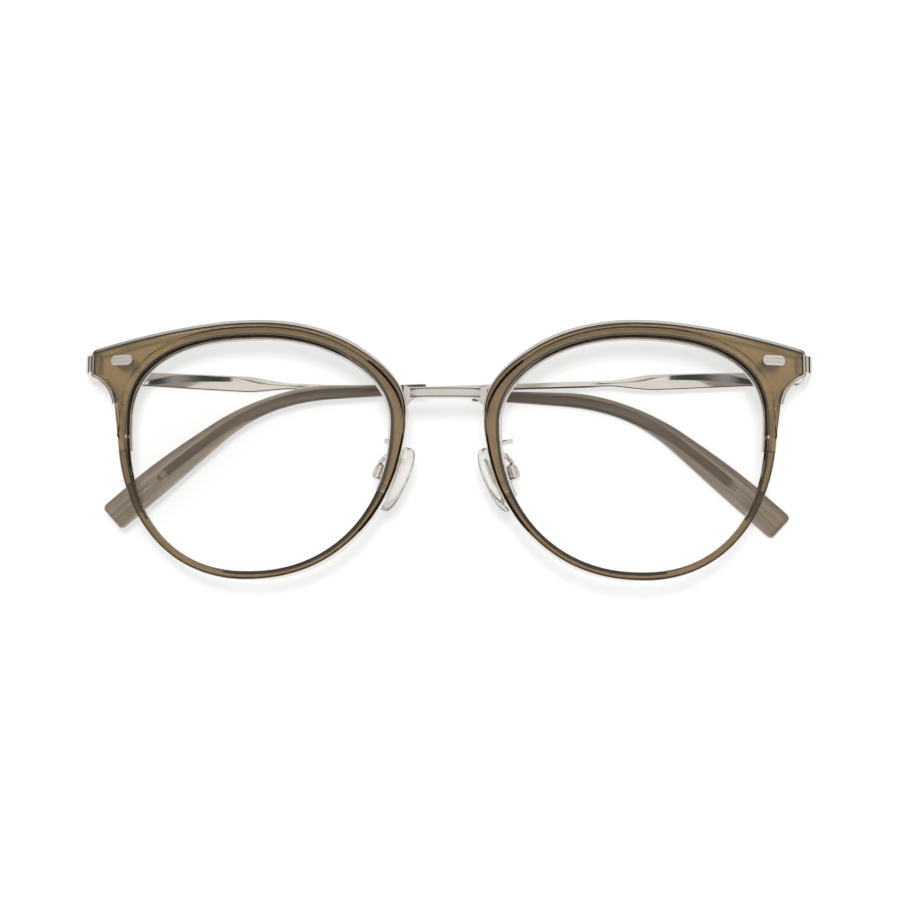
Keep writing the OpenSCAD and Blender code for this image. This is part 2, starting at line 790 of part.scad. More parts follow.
module pad_box(left) {
    color("#c4beb6")
        placed(left)
            at_pad()
                difference() {
                    translate([box_near, -box_l / 2, -box_w / 2])
                        cube([box_far - box_near, box_l, box_w]);
                    translate([box_near - 1, -box_l / 2 + box_wall, -box_w / 2 + box_wall])
                        cube([box_far - box_near + 1 - box_wall, box_l - 2 * box_wall,
                            box_w - 2 * box_wall]);
                    translate([pad_axis, 0, -3])
                        cylinder(r = pad_screw_r, h = 6);
                }
}

module pad_screw(left) {
    color("#d8d4cc")
        placed(left)
            at_pad()
                translate([pad_axis, 0, -box_w / 2])
                    difference() {
                        union() {
                            cylinder(r = pad_screw_r, h = box_w);
                            translate([0, 0, -0.35])
                                cylinder(r = pad_screw_r + 0.3, h = 0.35);
                        }
                        translate([-1, -0.07, -1])
                            cube([2, 0.14, 0.8]);
                    }
}

// A bent wire from the back of the metal rim to the pad box
PAD_FOOT = [-25.9, 1.7];
ROD_END = [2.3, 3.5];
function pad_point(p) =
    let (c = cos(pad_splay), s = sin(pad_splay))
    let (q = [p[0] * c - p[2] * s, p[1], p[0] * s + p[2] * c])
    let (a = cos(pad_lean), b = sin(pad_lean))
    [pad_x + q[0] * a - q[1] * b, pad_y + q[0] * b + q[1] * a, q[2] - pad_back];
pad_foot = [0, 0, 0.05 - pad_wire_r] + rim_spot(PAD_FOOT[0], PAD_FOOT[1], back_of_plate);
function pad_route(left) =
    let (f = pad_foot, e = pad_point([box_far - 0.5, box_l / 2 - 0.1, 0]))
    [f + [ROD_END[left ? 1 : 0], 0.7, 0.1], f, f + [-0.6, -0.5, -1.2], f + [-0.3, -1, -2.6],
    [(f[0] + e[0]) / 2 + 0.2, (f[1] + e[1]) / 2 + 0.2, e[2] - 0.3], e + [0, 0.3, -0.1], e];
function spline(p, k) =
    let (n = len(p) - 1, i = min(floor(k * n), n - 1), x = k * n - i)
    let (a = p[max(i - 1, 0)], b = p[i], c = p[i + 1], d = p[min(i + 2, n)])
    0.5 * (2 * b + (c - a) * x + (2 * a - 5 * b + 4 * c - d) * x * x
        + (3 * b - a - 3 * c + d) * x * x * x);
module pad_arm(left) {
    steps = 24;
    points = [for (i = [0:steps]) spline(pad_route(left), i / steps)];
    color("#cbc5bd")
        placed(left)
            difference() {
                tube([for (i = [0:steps])
                    let (d = unit(points[min(i + 1, steps)] - points[max(i - 1, 0)]))
                    let (a = unit(cross(d, [0.3, 0.2, 1])), b = cross(d, a))
                    [for (j = [0:7])
                        points[i] + pad_wire_r * (cos(45 * j) * a + sin(45 * j) * b)]]);
                at_left_rim()
                    difference() {
                        through(metal_outline);
                        ball(back_of_plate);
                    }
            }
}

acetate_rim(false);  // right_acetate_rim
acetate_rim(true);  // left_acetate_rim
metal_rim(false);  // right_metal_rim
metal_rim(true);  // left_metal_rim
bridge();
lens(false);  // right_lens
lens(true);  // left_lens
end_lug(false);  // right_end_lug
end_lug(true);  // left_end_lug
rivet_plaque(false);  // right_rivet_plaque
rivet_plaque(true);  // left_rivet_plaque
front_hinge(false);  // right_front_hinge
front_hinge(true);  // left_front_hinge
hinge_screw(false);  // right_hinge_screw
hinge_screw(true);  // left_hinge_screw
temple_hinge(false);  // right_temple_hinge
temple_hinge(true);  // left_temple_hinge
temple_arm(false);  // right_temple_arm
temple_arm(true);  // left_temple_arm
temple_tip(false);  // right_temple_tip
temple_tip(true);  // left_temple_tip
pad_arm(false);  // right_pad_arm
pad_arm(true);  // left_pad_arm
pad_box(false);  // right_pad_box
pad_box(true);  // left_pad_box
pad_screw(false);  // right_pad_screw
pad_screw(true);  // left_pad_screw
pad_insert(false);  // right_pad_insert
pad_insert(true);  // left_pad_insert
nose_pad(false);  // right_nose_pad
nose_pad(true);  // left_nose_pad
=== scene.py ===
# %% [markdown]
# # Browline glasses, folded on a white table
# The real object is a pair of glasses with clear lenses in translucent olive-brown
# acetate rims. A silver metal rim runs round the outside of the acetate and carries the
# bridge, the nose pads and the two hinged temples. The exact solids come from the CAD
# frame. This script gives them their finish, and models again, with smooth surfaces,
# the pieces that the CAD makes from flat facets.

# %% Load the CAD frame
import json
import math

import bmesh
import bpy
from mathutils import Matrix, Vector

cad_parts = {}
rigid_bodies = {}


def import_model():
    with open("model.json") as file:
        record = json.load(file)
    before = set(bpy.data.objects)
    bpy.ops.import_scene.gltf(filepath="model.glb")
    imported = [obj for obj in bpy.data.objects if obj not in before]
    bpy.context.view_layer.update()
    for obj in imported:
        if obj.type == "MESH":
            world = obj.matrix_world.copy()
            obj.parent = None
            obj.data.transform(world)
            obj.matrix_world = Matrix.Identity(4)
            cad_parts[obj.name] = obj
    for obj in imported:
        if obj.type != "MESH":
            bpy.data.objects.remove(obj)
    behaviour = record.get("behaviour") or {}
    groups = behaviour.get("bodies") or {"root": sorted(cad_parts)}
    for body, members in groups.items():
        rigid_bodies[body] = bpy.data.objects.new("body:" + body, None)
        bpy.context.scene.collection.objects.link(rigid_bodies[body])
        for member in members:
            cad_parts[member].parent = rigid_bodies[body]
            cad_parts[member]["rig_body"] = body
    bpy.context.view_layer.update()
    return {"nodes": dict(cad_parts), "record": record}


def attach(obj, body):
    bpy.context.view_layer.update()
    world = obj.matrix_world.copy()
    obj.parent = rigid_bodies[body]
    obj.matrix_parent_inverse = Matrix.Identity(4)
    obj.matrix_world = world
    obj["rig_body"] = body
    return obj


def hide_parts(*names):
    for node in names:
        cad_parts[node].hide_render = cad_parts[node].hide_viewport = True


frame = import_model()
MM = 0.001
SIDES = ("right", "left")
slots = {part["node"]: part["material_slot"] for part in frame["record"]["subparts"]}
print("CAD nodes:", len(slots))

# %% [markdown]
# ## Colours and nodes
# Colours are written the way a colour picker gives them, as sRGB hex values, and Cycles
# works in linear light, so one function turns the first into the second. A second small
# function adds a node with its settings and links, which keeps each material short. An
# input is named with its blanks as underscores, or numbered where two have one name.


# %% Turn a hex colour into linear light
def linear(hex_colour):
    channels = [int(hex_colour[i:i + 2], 16) / 255 for i in (1, 3, 5)]
    return [c / 12.92 if c <= 0.04045 else ((c + 0.055) / 1.055) ** 2.4 for c in channels] + [1.0]


print("middle grey in linear light:", round(linear("#808080")[0], 3))


# %% Start a material and add nodes to it
def new_material(name):
    material = bpy.data.materials.new(name)
    material.use_nodes = True
    return material, material.node_tree, material.node_tree.nodes["Principled BSDF"]


def plug(tree, node, **inputs):
    for key, value in inputs.items():
        number = key[1:].isdigit()
        socket = node.inputs[int(key[1:]) if number else key.replace("_", " ")]
        if isinstance(value, bpy.types.NodeSocket):
            tree.links.new(value, socket)
        else:
            socket.default_value = value


def add(tree, kind, settings=None, **inputs):
    node = tree.nodes.new(kind)
    for key, value in (settings or {}).items():
        setattr(node, key, value)
    plug(tree, node, **inputs)
    return node


# %% [markdown]
# ## Acetate of the rims
# The rims are cellulose acetate, cut from a cast sheet and tumbled to a polish. It is a
# clear brown plastic, so its olive colour is white light from the table that comes through
# it. It could be one flat tint, but the sheet is kneaded from chips, so noise with bends of
# about 7 mm makes faint paler and deeper swirls. Tumbling leaves waves 1.5 mm wide and a
# few thousandths deep. Over the silver plate the light crosses the sheet twice, and a paler
# tint there gives the brow the same olive as the free ring.

# %% Make the acetate of the rims
ACETATE_IOR = 1.48
SWIRL_SIZE, WAVE_SIZE, WAVE_DEPTH = 7 * MM, 1.5 * MM, 0.004 * MM


def rim_acetate(name, pale, deep):
    material, tree, surface = new_material(name)
    place = add(tree, "ShaderNodeTexCoord").outputs["Object"]
    swirls = add(tree, "ShaderNodeTexNoise", Vector=place, Scale=1 / SWIRL_SIZE, Detail=4.0,
                 Distortion=1.2)
    depth = add(tree, "ShaderNodeMapRange", Value=swirls.outputs[0], From_Min=0.35, From_Max=0.65)
    tint = add(tree, "ShaderNodeMix", {"data_type": "RGBA"}, _0=depth.outputs[0],
               _6=linear(pale), _7=linear(deep))
    waves = add(tree, "ShaderNodeTexNoise", Vector=place, Scale=1 / WAVE_SIZE, Detail=2.0)
    polish = add(tree, "ShaderNodeMapRange", Value=waves.outputs[0], To_Min=0.03, To_Max=0.08)
    relief = add(tree, "ShaderNodeBump", Height=waves.outputs[0], Distance=WAVE_DEPTH, Strength=1.0)
    plug(tree, surface, Base_Color=tint.outputs[2], Roughness=polish.outputs[0],
         Normal=relief.outputs[0], Transmission_Weight=0.92, IOR=ACETATE_IOR)
    return material


finishes = {
    "acetate": rim_acetate("olive_acetate", "#8e7655", "#816a49"),
    "acetate_on_plate": rim_acetate("olive_acetate_on_plate", "#dcc8a4", "#d8c39d"),
}
print("finishes:", ", ".join(finishes))

# %% [markdown]
# ## Painted shade on the walls of the acetate
# Seen from the front, the groove for the lens and the outer wall of a rim lie in shade: the
# light that reaches them is lost on its long path through the clear sheet, and they draw a
# dark brown line. It could be the same acetate with more roughness, but that glows. So the
# shade is painted: a nearly black brown without transmission, with a grain of noise 0.6 mm
# wide.

# %% Make the painted shade of the acetate walls
WALL_SHADE_GRAIN = 0.6 * MM


def acetate_wall():
    material, tree, surface = new_material("acetate_wall_painted_shade")
    place = add(tree, "ShaderNodeTexCoord").outputs["Object"]
    grain = add(tree, "ShaderNodeTexNoise", Vector=place, Scale=1 / WALL_SHADE_GRAIN, Detail=5.0)
    tint = add(tree, "ShaderNodeMix", {"data_type": "RGBA"}, _0=grain.outputs[0],
               _6=linear("#120a05"), _7=linear("#26170d"))
    rough = add(tree, "ShaderNodeMapRange", Value=grain.outputs[0], To_Min=0.4, To_Max=0.7)
    plug(tree, surface, Base_Color=tint.outputs[2], Roughness=rough.outputs[0],
         IOR=ACETATE_IOR, Specular_IOR_Level=0.03)
    return material


finishes["acetate_edge"] = acetate_wall()
print("grain of the painted wall shade in mm:", WALL_SHADE_GRAIN / MM)

# %% [markdown]
# ## Acetate of the tips
# The tips are drawn over the wire while they are warm, which pulls the colour into long
# streaks. Streaks on Object coordinates would run straight across the bend, so they are
# read from an attribute that holds each point's place along and across the straight
# temple. They are about 0.8 mm wide and 20 mm long.

# %% Make the acetate of the tips
STREAK_WIDTH, STREAK_DRAW = 0.8 * MM, 0.04
TIP_WAVE, TIP_WAVE_DEPTH = 1.2 * MM, 0.005 * MM


def tip_acetate():
    material, tree, surface = new_material("tip_acetate")
    laid = add(tree, "ShaderNodeAttribute", {"attribute_name": "laid"}).outputs["Vector"]
    drawn = add(tree, "ShaderNodeMapping", Vector=laid, Scale=(STREAK_DRAW, 1.0, 1.0))
    streaks = add(tree, "ShaderNodeTexNoise", Vector=drawn.outputs[0], Scale=1 / STREAK_WIDTH,
                  Detail=3.0, Distortion=0.4)
    depth = add(tree, "ShaderNodeMapRange", Value=streaks.outputs[0], From_Min=0.3, From_Max=0.7)
    tint = add(tree, "ShaderNodeMix", {"data_type": "RGBA"}, _0=depth.outputs[0],
               _6=linear("#b0a28f"), _7=linear("#786751"))
    waves = add(tree, "ShaderNodeTexNoise", Vector=laid, Scale=1 / TIP_WAVE, Detail=2.0)
    polish = add(tree, "ShaderNodeMapRange", Value=waves.outputs[0], To_Min=0.04, To_Max=0.1)
    relief = add(tree, "ShaderNodeBump", Height=waves.outputs[0], Distance=TIP_WAVE_DEPTH,
                 Strength=1.0)
    plug(tree, surface, Base_Color=tint.outputs[2], Roughness=polish.outputs[0],
         Normal=relief.outputs[0], Transmission_Weight=0.93, IOR=ACETATE_IOR)
    return material


finishes["tip_acetate"] = tip_acetate()
print("streaks in mm:", STREAK_WIDTH / MM, "x", round(STREAK_WIDTH / MM / STREAK_DRAW, 1))

# %% [markdown]
# ## Silver plating
# The metal parts are a nickel alloy, brushed lightly and plated in a pale silver, so they
# mirror the white room softly. Brush lines are about 0.05 mm wide, too fine to show, so
# they are drawn 0.25 mm wide: long noise that shifts the roughness and the relief. Handling
# polishes the sharp edges, which Geometry's pointiness finds, and larger noise 5 mm across
# gives the plating its faint warmer clouds. The plate's face under the acetate is blasted
# satin, so that it sends the light back through the sheet without mirroring the rim.

# %% Make the platings
CLOUD_SIZE, BRUSH_LINE, BRUSH_DEPTH, BRUSH_DRAW = 5 * MM, 0.25 * MM, 0.0008 * MM, 0.06


def silver_plating(name, pale, warm, roughness, along_arm=False):
    material, tree, surface = new_material(name)
    if along_arm:
        place = add(tree, "ShaderNodeAttribute", {"attribute_name": "laid"}).outputs["Vector"]
    else:
        place = add(tree, "ShaderNodeTexCoord").outputs["Object"]
    clouds = add(tree, "ShaderNodeTexNoise", Vector=place, Scale=1 / CLOUD_SIZE, Detail=3.0)
    tint = add(tree, "ShaderNodeMix", {"data_type": "RGBA"}, _0=clouds.outputs[0],
               _6=linear(pale), _7=linear(warm))
    drawn = add(tree, "ShaderNodeMapping", Vector=place, Scale=(BRUSH_DRAW, 1.0, 1.0))
    lines = add(tree, "ShaderNodeTexNoise", Vector=drawn.outputs[0], Scale=1 / BRUSH_LINE,
                Detail=2.0)
    brushed = add(tree, "ShaderNodeMapRange", Value=lines.outputs[0], From_Min=0.3, From_Max=0.7,
                  To_Min=roughness * 0.75, To_Max=roughness * 1.35)
    edges = add(tree, "ShaderNodeNewGeometry").outputs["Pointiness"]
    worn = add(tree, "ShaderNodeMapRange", Value=edges, From_Min=0.52, From_Max=0.6)
    smooth = add(tree, "ShaderNodeMix", {"data_type": "FLOAT"}, _0=worn.outputs[0],
                 _2=brushed.outputs[0], _3=roughness * 0.5)
    relief = add(tree, "ShaderNodeBump", Height=lines.outputs[0], Distance=BRUSH_DEPTH,
                 Strength=1.0)
    plug(tree, surface, Base_Color=tint.outputs[2], Roughness=smooth.outputs[0],
         Normal=relief.outputs[0], Metallic=1.0)
    return material


finishes.update({
    "silver": silver_plating("silver_plating", "#dcd7cf", "#d0c9c0", 0.15),
    "arm_silver": silver_plating("arm_silver_plating", "#dcd7cf", "#d0c9c0", 0.13, along_arm=True),
    "silver_bright": silver_plating("polished_silver", "#e2ddd6", "#d8d2ca", 0.1),
    "satin_silver": silver_plating("satin_silver_plating", "#ebe8e3", "#e6e2dc", 0.5),
    "steel": silver_plating("plain_steel", "#c1bcb4", "#aeaaa2", 0.28),
})
print("platings:", [name for name in finishes if "silver" in name or name == "steel"])

# %% [markdown]
# ## Lens plastic
# The lenses are optical plastic with an anti-reflection coating. Bare plastic of IOR 1.5
# mirrors 4% of the room, and the coating brings that near 1%. A clear coat can't lower a
# reflection, so the coating is left out and an IOR of 1.2 gives its effect. Wiping leaves
# hazy marks some 12 mm long, just visible as a change of roughness.

# %% Make the lens plastic
MARK_WIDTH, MARK_DRAW = 4 * MM, 0.3


def lens_plastic():
    material, tree, surface = new_material("coated_lens_plastic")
    place = add(tree, "ShaderNodeTexCoord").outputs["Object"]
    wiped = add(tree, "ShaderNodeMapping", Vector=place, Scale=(MARK_DRAW, 1.0, 1.0))
    marks = add(tree, "ShaderNodeTexNoise", Vector=wiped.outputs[0], Scale=1 / MARK_WIDTH,
                Detail=4.0)
    haze = add(tree, "ShaderNodeMapRange", Value=marks.outputs[0], From_Min=0.5, From_Max=0.8,
               To_Max=0.012)
    plug(tree, surface, Base_Color=linear("#ffffff"), Roughness=haze.outputs[0],
         Transmission_Weight=1.0, IOR=1.2)
    return material


finishes["lens"] = lens_plastic()
print("wipe marks in mm:", MARK_WIDTH / MM, "x", round(MARK_WIDTH / MM / MARK_DRAW, 1))

# %% [markdown]
# ## Painted shade on the lens edge
# The edge of a lens is ground to a V and left matt. Deep in the brown groove it lies in
# shade, and that shade is painted on it as a nearly black brown. Grit of 0.2 mm roughens it.

# %% Make the painted shade of a lens edge
GRIT_SIZE, GRIT_DEPTH = 0.2 * MM, 0.01 * MM


def ground_edge():
    material, tree, surface = new_material("painted_shade_for_edges")
    place = add(tree, "ShaderNodeTexCoord").outputs["Object"]
    grit = add(tree, "ShaderNodeTexNoise", Vector=place, Scale=1 / GRIT_SIZE, Detail=3.0)
    tint = add(tree, "ShaderNodeMix", {"data_type": "RGBA"}, _0=grit.outputs[0],
               _6=linear("#1c120b"), _7=linear("#38271a"))
    relief = add(tree, "ShaderNodeBump", Height=grit.outputs[0], Distance=GRIT_DEPTH, Strength=1.0)
    plug(tree, surface, Base_Color=tint.outputs[2], Normal=relief.outputs[0], Roughness=0.6)
    return material


finishes["ground_edge"] = ground_edge()
print("grit in mm:", GRIT_SIZE / MM)

# %% [markdown]
# ## Silicone of the pads
# The pads are moulded silicone, clear but a little milky, with an uneven skin. Noise of
# 3.5 mm shifts the milkiness, and noise of 1 mm lifts the skin. The hard core inside is a
# clearer, smoother plastic.

# %% Make the silicone of the pads
SKIN_SIZE, SKIN_DEPTH, MILK_SIZE, SILICONE_IOR = 1.0 * MM, 0.01 * MM, 3.5 * MM, 1.41


def pad_silicone(name, roughness, clear):
    material, tree, surface = new_material(name)
    place = add(tree, "ShaderNodeTexCoord").outputs["Object"]
    skin = add(tree, "ShaderNodeTexNoise", Vector=place, Scale=1 / SKIN_SIZE, Detail=3.0)
    cloud = add(tree, "ShaderNodeTexNoise", Vector=place, Scale=1 / MILK_SIZE, Detail=2.0)
    tint = add(tree, "ShaderNodeMix", {"data_type": "RGBA"}, _0=cloud.outputs[0],
               _6=linear("#fdfcfa"), _7=linear("#efebe4"))
    soft = add(tree, "ShaderNodeMapRange", Value=skin.outputs[0],
               To_Min=roughness * 0.6, To_Max=roughness * 1.5)
    relief = add(tree, "ShaderNodeBump", Height=skin.outputs[0], Distance=SKIN_DEPTH, Strength=1.0)
    plug(tree, surface, Base_Color=tint.outputs[2], Roughness=soft.outputs[0],
         Normal=relief.outputs[0], Transmission_Weight=clear, IOR=SILICONE_IOR)
    return material


finishes["silicone"] = pad_silicone("pad_silicone", 0.12, 0.91)
finishes["pad_plastic"] = pad_silicone("pad_core_plastic", 0.08, 0.9)
print("finishes in all:", len(finishes))

# %% [markdown]
# ## Sizes of the front
# The curved pieces follow the same outlines as the CAD: the lens opening is a rounded
# shape made of four quarters, the acetate is a band round it, and the end-piece reaches
# out at the temple side. Lengths are in mm, with X to the wearer's left, Y up and Z
# towards the front, and each piece is drawn once, for the left side. Angles run round the
# opening from the temple side over the brow.


# %% Work in degrees, and ease from one value to another
def cos(degrees):
    return math.cos(math.radians(degrees))


def sin(degrees):
    return math.sin(math.radians(degrees))


def ease(x):
    x = min(1, max(0, x))
    return x * x * (3 - 2 * x)


def power(x, exponent):
    return math.copysign(abs(x) ** exponent, x)


print("half way, an ease is at", ease(0.5))

# %% Draw the lens opening
HALF_W, HALF_H = 25.25, 22.5
TOP_X, BOTTOM_X, OUTER_Y, INNER_Y = 0.7, 1.05, 6.5, 5.4
SQUARENESS = {"top outer": 2.48, "top inner": 2.03, "low outer": 2.23, "low inner": 2.15}


def opening_point(t):
    c, s = cos(t), sin(t)
    middle_x = TOP_X if s >= 0 else BOTTOM_X
    middle_y = OUTER_Y if c >= 0 else INNER_Y
    quarter = ("top" if s >= 0 else "low") + (" outer" if c >= 0 else " inner")
    a = HALF_W - math.copysign(middle_x, c)
    b = HALF_H - math.copysign(middle_y, s)
    round_off = 2 / SQUARENESS[quarter]
    return Vector((middle_x + a * power(c, round_off), middle_y + b * power(s, round_off)))


def beside_opening(t, width):
    along = opening_point(t + 1) - opening_point(t - 1)
    return opening_point(t) + width * Vector((along.y, -along.x)).normalized()


print("lens opening in mm:", 2 * HALF_W, "x", 2 * HALF_H)

# %% Give the band its width
LOW_WIDTH, BROW_GAIN, NOSE_GAIN = 1.36, 0.98, 0.76
NOSE_AT, NOSE_SPAN = 164, 30
INNER_LOW, INNER_CLIMB = 225, 60
OUTER_LOW, OUTER_CLIMB = -45, 95


def acetate_width(t):
    t %= 360
    if 90 <= t <= 270:
        climb = (INNER_LOW - t) / INNER_CLIMB
    else:
        climb = ((t - 360 if t > 270 else t) - OUTER_LOW) / OUTER_CLIMB
    swell = 0
    if abs(t - NOSE_AT) < NOSE_SPAN:
        swell = 0.5 + 0.5 * cos(180 * (t - NOSE_AT) / NOSE_SPAN)
    return LOW_WIDTH + BROW_GAIN * ease(climb) + NOSE_GAIN * swell


print("width of the band at the foot and brow:", [round(acetate_width(t), 2) for t in (270, 90)])

# %% Set the depths of the front, and where its parts end
CENTRE_X, BASE_R, FACE_FORM = 35.5, 150.0, 5.0
RIM_T, BROW_RISE, BROW_INSET, BROW_LAND, BROW_FADE = 2.6, 0.5, 1.35, 0.12, 42
EDGE_SET, SEAT_GAP, EDGE_IN, PLATE_T, PLATE_LIP = 0.9, 0.03, 0.35, 0.6, 0.68
BACK_OF_PLATE = RIM_T + SEAT_GAP + PLATE_T
TOP_START, BROW_END, PLATE_END, EDGE_END, LOW_JOIN = 78, 181.5, 205, 282, 356
PLATE_FROM = 350
FADE_FROM, FADE_OVER = EDGE_END - 24, 22


def brow_edge(t):
    reach = acetate_width(BROW_END) - BROW_LAND - BROW_INSET
    return BROW_INSET + reach * ease((t - BROW_END + BROW_FADE) / BROW_FADE)


def seat_depth(t, on_end):
    """How far the metal edge reaches in under the acetate, fading out where the edge ends."""
    return EDGE_IN * (1 if on_end else 1 - 0.9 * ease((t - FADE_FROM) / FADE_OVER))


def on_rim(spot, depth):
    """Lay a flat point on the sphere that the front is bent to, at a depth behind its face."""
    u, v = spot
    return Vector((u, v, math.sqrt((BASE_R - depth) ** 2 - u * u - v * v) - BASE_R))


print("plate from", RIM_T + SEAT_GAP, "to", round(BACK_OF_PLATE, 2), "mm behind the face")

# %% [markdown]
# ## End-piece
# At the temple side the band grows into a winged end-piece: a round scoop below, a short
# upright end with small corners, and a long curve over the top. Each part has its own
# formula, and together they give the outer point of each section.

# %% Draw the outline of the end-piece
END_U, END_TOP, END_LOW = 32.5, 20.15, 15.95
SCOOP_R, SCOOP_OUT, SCOOP_FROM, SCOOP_PAST = 7.8, 3, 171, 4
CORNER_R, BROW_PULL = 0.45, 12.4
SCOOP_STEPS, CORNER_STEPS, OVER_STEPS = 14, 5, 18


def fillet(before, corner, after, radius, steps):
    d1, d2 = (before - corner).normalized(), (after - corner).normalized()
    half = d1.angle(d2) / 2
    middle = corner + (d1 + d2).normalized() * radius / math.sin(half)
    p1 = corner + d1 * radius / math.tan(half) - middle
    p2 = corner + d2 * radius / math.tan(half) - middle
    start = math.atan2(p1.y, p1.x)
    turn = (math.atan2(p2.y, p2.x) - start + math.pi) % (2 * math.pi) - math.pi
    angles = [start + turn * i / steps for i in range(steps + 1)]
    return [middle + radius * Vector((math.cos(a), math.sin(a))) for a in angles]


def end_piece():
    middle = Vector((END_U + SCOOP_OUT, END_LOW - math.sqrt(SCOOP_R ** 2 - SCOOP_OUT ** 2)))
    stop = math.degrees(math.atan2(END_LOW - middle.y, -SCOOP_OUT)) + SCOOP_PAST
    turns = [SCOOP_FROM + (stop - SCOOP_FROM) * i / SCOOP_STEPS for i in range(SCOOP_STEPS + 1)]
    scoop = [middle + SCOOP_R * Vector((cos(a), sin(a))) for a in turns]
    top = beside_opening(TOP_START, acetate_width(TOP_START))
    normal = beside_opening(TOP_START, 1) - opening_point(TOP_START)
    bend = top + BROW_PULL * Vector((normal.y, -normal.x))
    low, high = Vector((END_U, END_LOW)), Vector((END_U, END_TOP))
    edge = fillet(scoop[-1], low, high, CORNER_R, CORNER_STEPS)
    edge += fillet(low, high, bend, CORNER_R, CORNER_STEPS)
    shares = [i / OVER_STEPS for i in range(1, OVER_STEPS)]
    over = [(1 - k) ** 2 * high + 2 * k * (1 - k) * bend + k * k * top for k in shares]
    return scoop + edge + over


print("points round the end-piece:", len(end_piece()))

# %% Set the stations round a rim
STATION_STEP, STATION_COUNT, END_LEAD = 2.2, 127, 1.5
EXTRA_STATIONS = [178, 180, BROW_END, 203, PLATE_END, 355, 355.6, 356]


def rim_stations():
    """One entry for each section round the rim: its angle, its outer point, on the end-piece."""
    angles = [TOP_START + STATION_STEP * i for i in range(STATION_COUNT)]
    angles = sorted(set(angles + EXTRA_STATIONS))
    stations = [(t, beside_opening(t, acetate_width(t)), False) for t in angles if t <= LOW_JOIN]
    outer = end_piece()
    polar = [math.degrees(math.atan2(p.y, p.x)) for p in outer]
    top = opening_point(TOP_START)
    last = math.degrees(math.atan2(top.y, top.x))
    turn = 360 + TOP_START - LOW_JOIN
    for point, angle in zip(outer, polar):
        share = (angle - polar[0] + END_LEAD) / (last - polar[0] + END_LEAD)
        stations.append((LOW_JOIN + turn * share, point, True))
    return stations


stations = rim_stations()
outline = [station[1] for station in stations]
outward = []
for i, point in enumerate(outline):
    along = outline[(i + 1) % len(outline)] - outline[i - 1]
    outward.append(Vector((along.y, -along.x)).normalized())
print("sections round a rim:", len(stations))

# %% [markdown]
# ## Lofts
# Most pieces are long bodies with a changing section. Blender has no loft operator, so a
# circle is created, its points are moved onto the first section, and its edges are
# extruded from station to station. The ends are filled, or in a ring the last section
# falls on the first one and the doubles merge. This keeps the faces in even rows, so that
# a polished surface shades smoothly, and gives each strip of faces a number to colour by.


# %% Extrude a ring of edges from station to station
def loft(mesh, rings, closed=False, laid=None):
    """Return the strips of faces, one for each step from a ring to the next."""
    count = len(rings[0])
    layer = mesh.verts.layers.float_vector["laid"] if laid else None

    def place(row, i):
        for j, vertex in enumerate(row):
            vertex.co = rings[i][j]
            if laid:
                vertex[layer] = laid[i][j]
        return [mesh.edges.get((row[j], row[(j + 1) % count])) for j in range(count)]

    row = bmesh.ops.create_circle(mesh, segments=count, radius=1)["verts"]
    first = edges = place(row, 0)
    strips = []
    for i in list(range(1, len(rings))) + ([0] if closed else []):
        grown = set(bmesh.ops.extrude_edge_only(mesh, edges=edges)["geom"])
        strips.append([next(face for face in edge.link_faces if face in grown) for edge in edges])
        row = [next(edge.other_vert(vertex) for edge in vertex.link_edges
                    if edge.other_vert(vertex) in grown) for vertex in row]
        edges = place(row, i)
    if not closed:
        bmesh.ops.edgeloop_fill(mesh, edges=first)
        bmesh.ops.edgeloop_fill(mesh, edges=edges)
    return strips


# %% Turn a mesh into a piece of the glasses
WELD = 0.0005 * MM
SHARP_ANGLE = 28
pieces = []


def link_piece(name, mesh, finish, body, node, sharp):
    for face in mesh.faces:
        face.smooth = True
    for edge in mesh.edges:
        edge.smooth = not edge.is_manifold or edge.calc_face_angle(0) < math.radians(sharp)
    data = bpy.data.meshes.new(name)
    mesh.to_mesh(data)
    mesh.free()
    for part_finish in finish.split():
        data.materials.append(finishes[part_finish])
    piece = bpy.data.objects.new(name, data)
    bpy.context.scene.collection.objects.link(piece)
    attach(piece, body)
    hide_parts(node)
    pieces.append(piece)
    return piece


def shade_evenly(piece):
    even = piece.modifiers.new("even shading", "WEIGHTED_NORMAL")
    even.keep_sharp = True


def finish_piece(name, mesh, finish, matrix, body, node, sharp=SHARP_ANGLE):
    bmesh.ops.transform(mesh, matrix=Matrix.Scale(MM, 4) @ matrix, verts=mesh.verts)
    bmesh.ops.remove_doubles(mesh, verts=mesh.verts, dist=WELD)
    bmesh.ops.recalc_face_normals(mesh, faces=mesh.faces)
    piece = link_piece(name, mesh, finish, body, node, sharp)
    shade_evenly(piece)
    return piece


def report(kind):
    """Print how many faces the newest piece has, and its reach along X, Y and Z in mm."""
    mesh = pieces[-1].data
    rows = list(zip(*(vertex.co for vertex in mesh.vertices)))
    reach = [round((max(row) - min(row)) / MM, 1) for row in rows]
    print(kind + ":", len(mesh.polygons), "faces, reaching", reach, "mm")


# %% [markdown]
# ## Where the front lies
# The front rests face up on the folded temples, tilted by 2 degrees. A right piece is a
# left one seen in a mirror, and each rim is turned back by 5 degrees from the bridge.

# %% Place the sides
REST_AT, REST_TILT = Vector((-0.4719, -0.75, 25.2269)), -2
LYING = Matrix.Translation(REST_AT) @ Matrix.Rotation(math.radians(REST_TILT), 4, "Y")
MIRROR = Matrix.Diagonal((-1, 1, 1, 1))
AT_RIM = Matrix.Translation((CENTRE_X, 0, 0)) @ Matrix.Rotation(math.radians(FACE_FORM), 4, "Y")


def side_matrix(side):
    return LYING if side == "left" else LYING @ MIRROR


print("the front lies", round(REST_AT.z, 1), "mm above the table")

# %% [markdown]
# ## Acetate rims
# A rim is one ring of acetate with a groove for the lens, a raised brow, and the
# end-piece. It could be a flat shape with bevels, but the brow's step fades out along the
# ring and the walls lean, so a loft of 23 points is used. The points go from the back of
# the inner wall through the groove, over the face and down the outer wall.

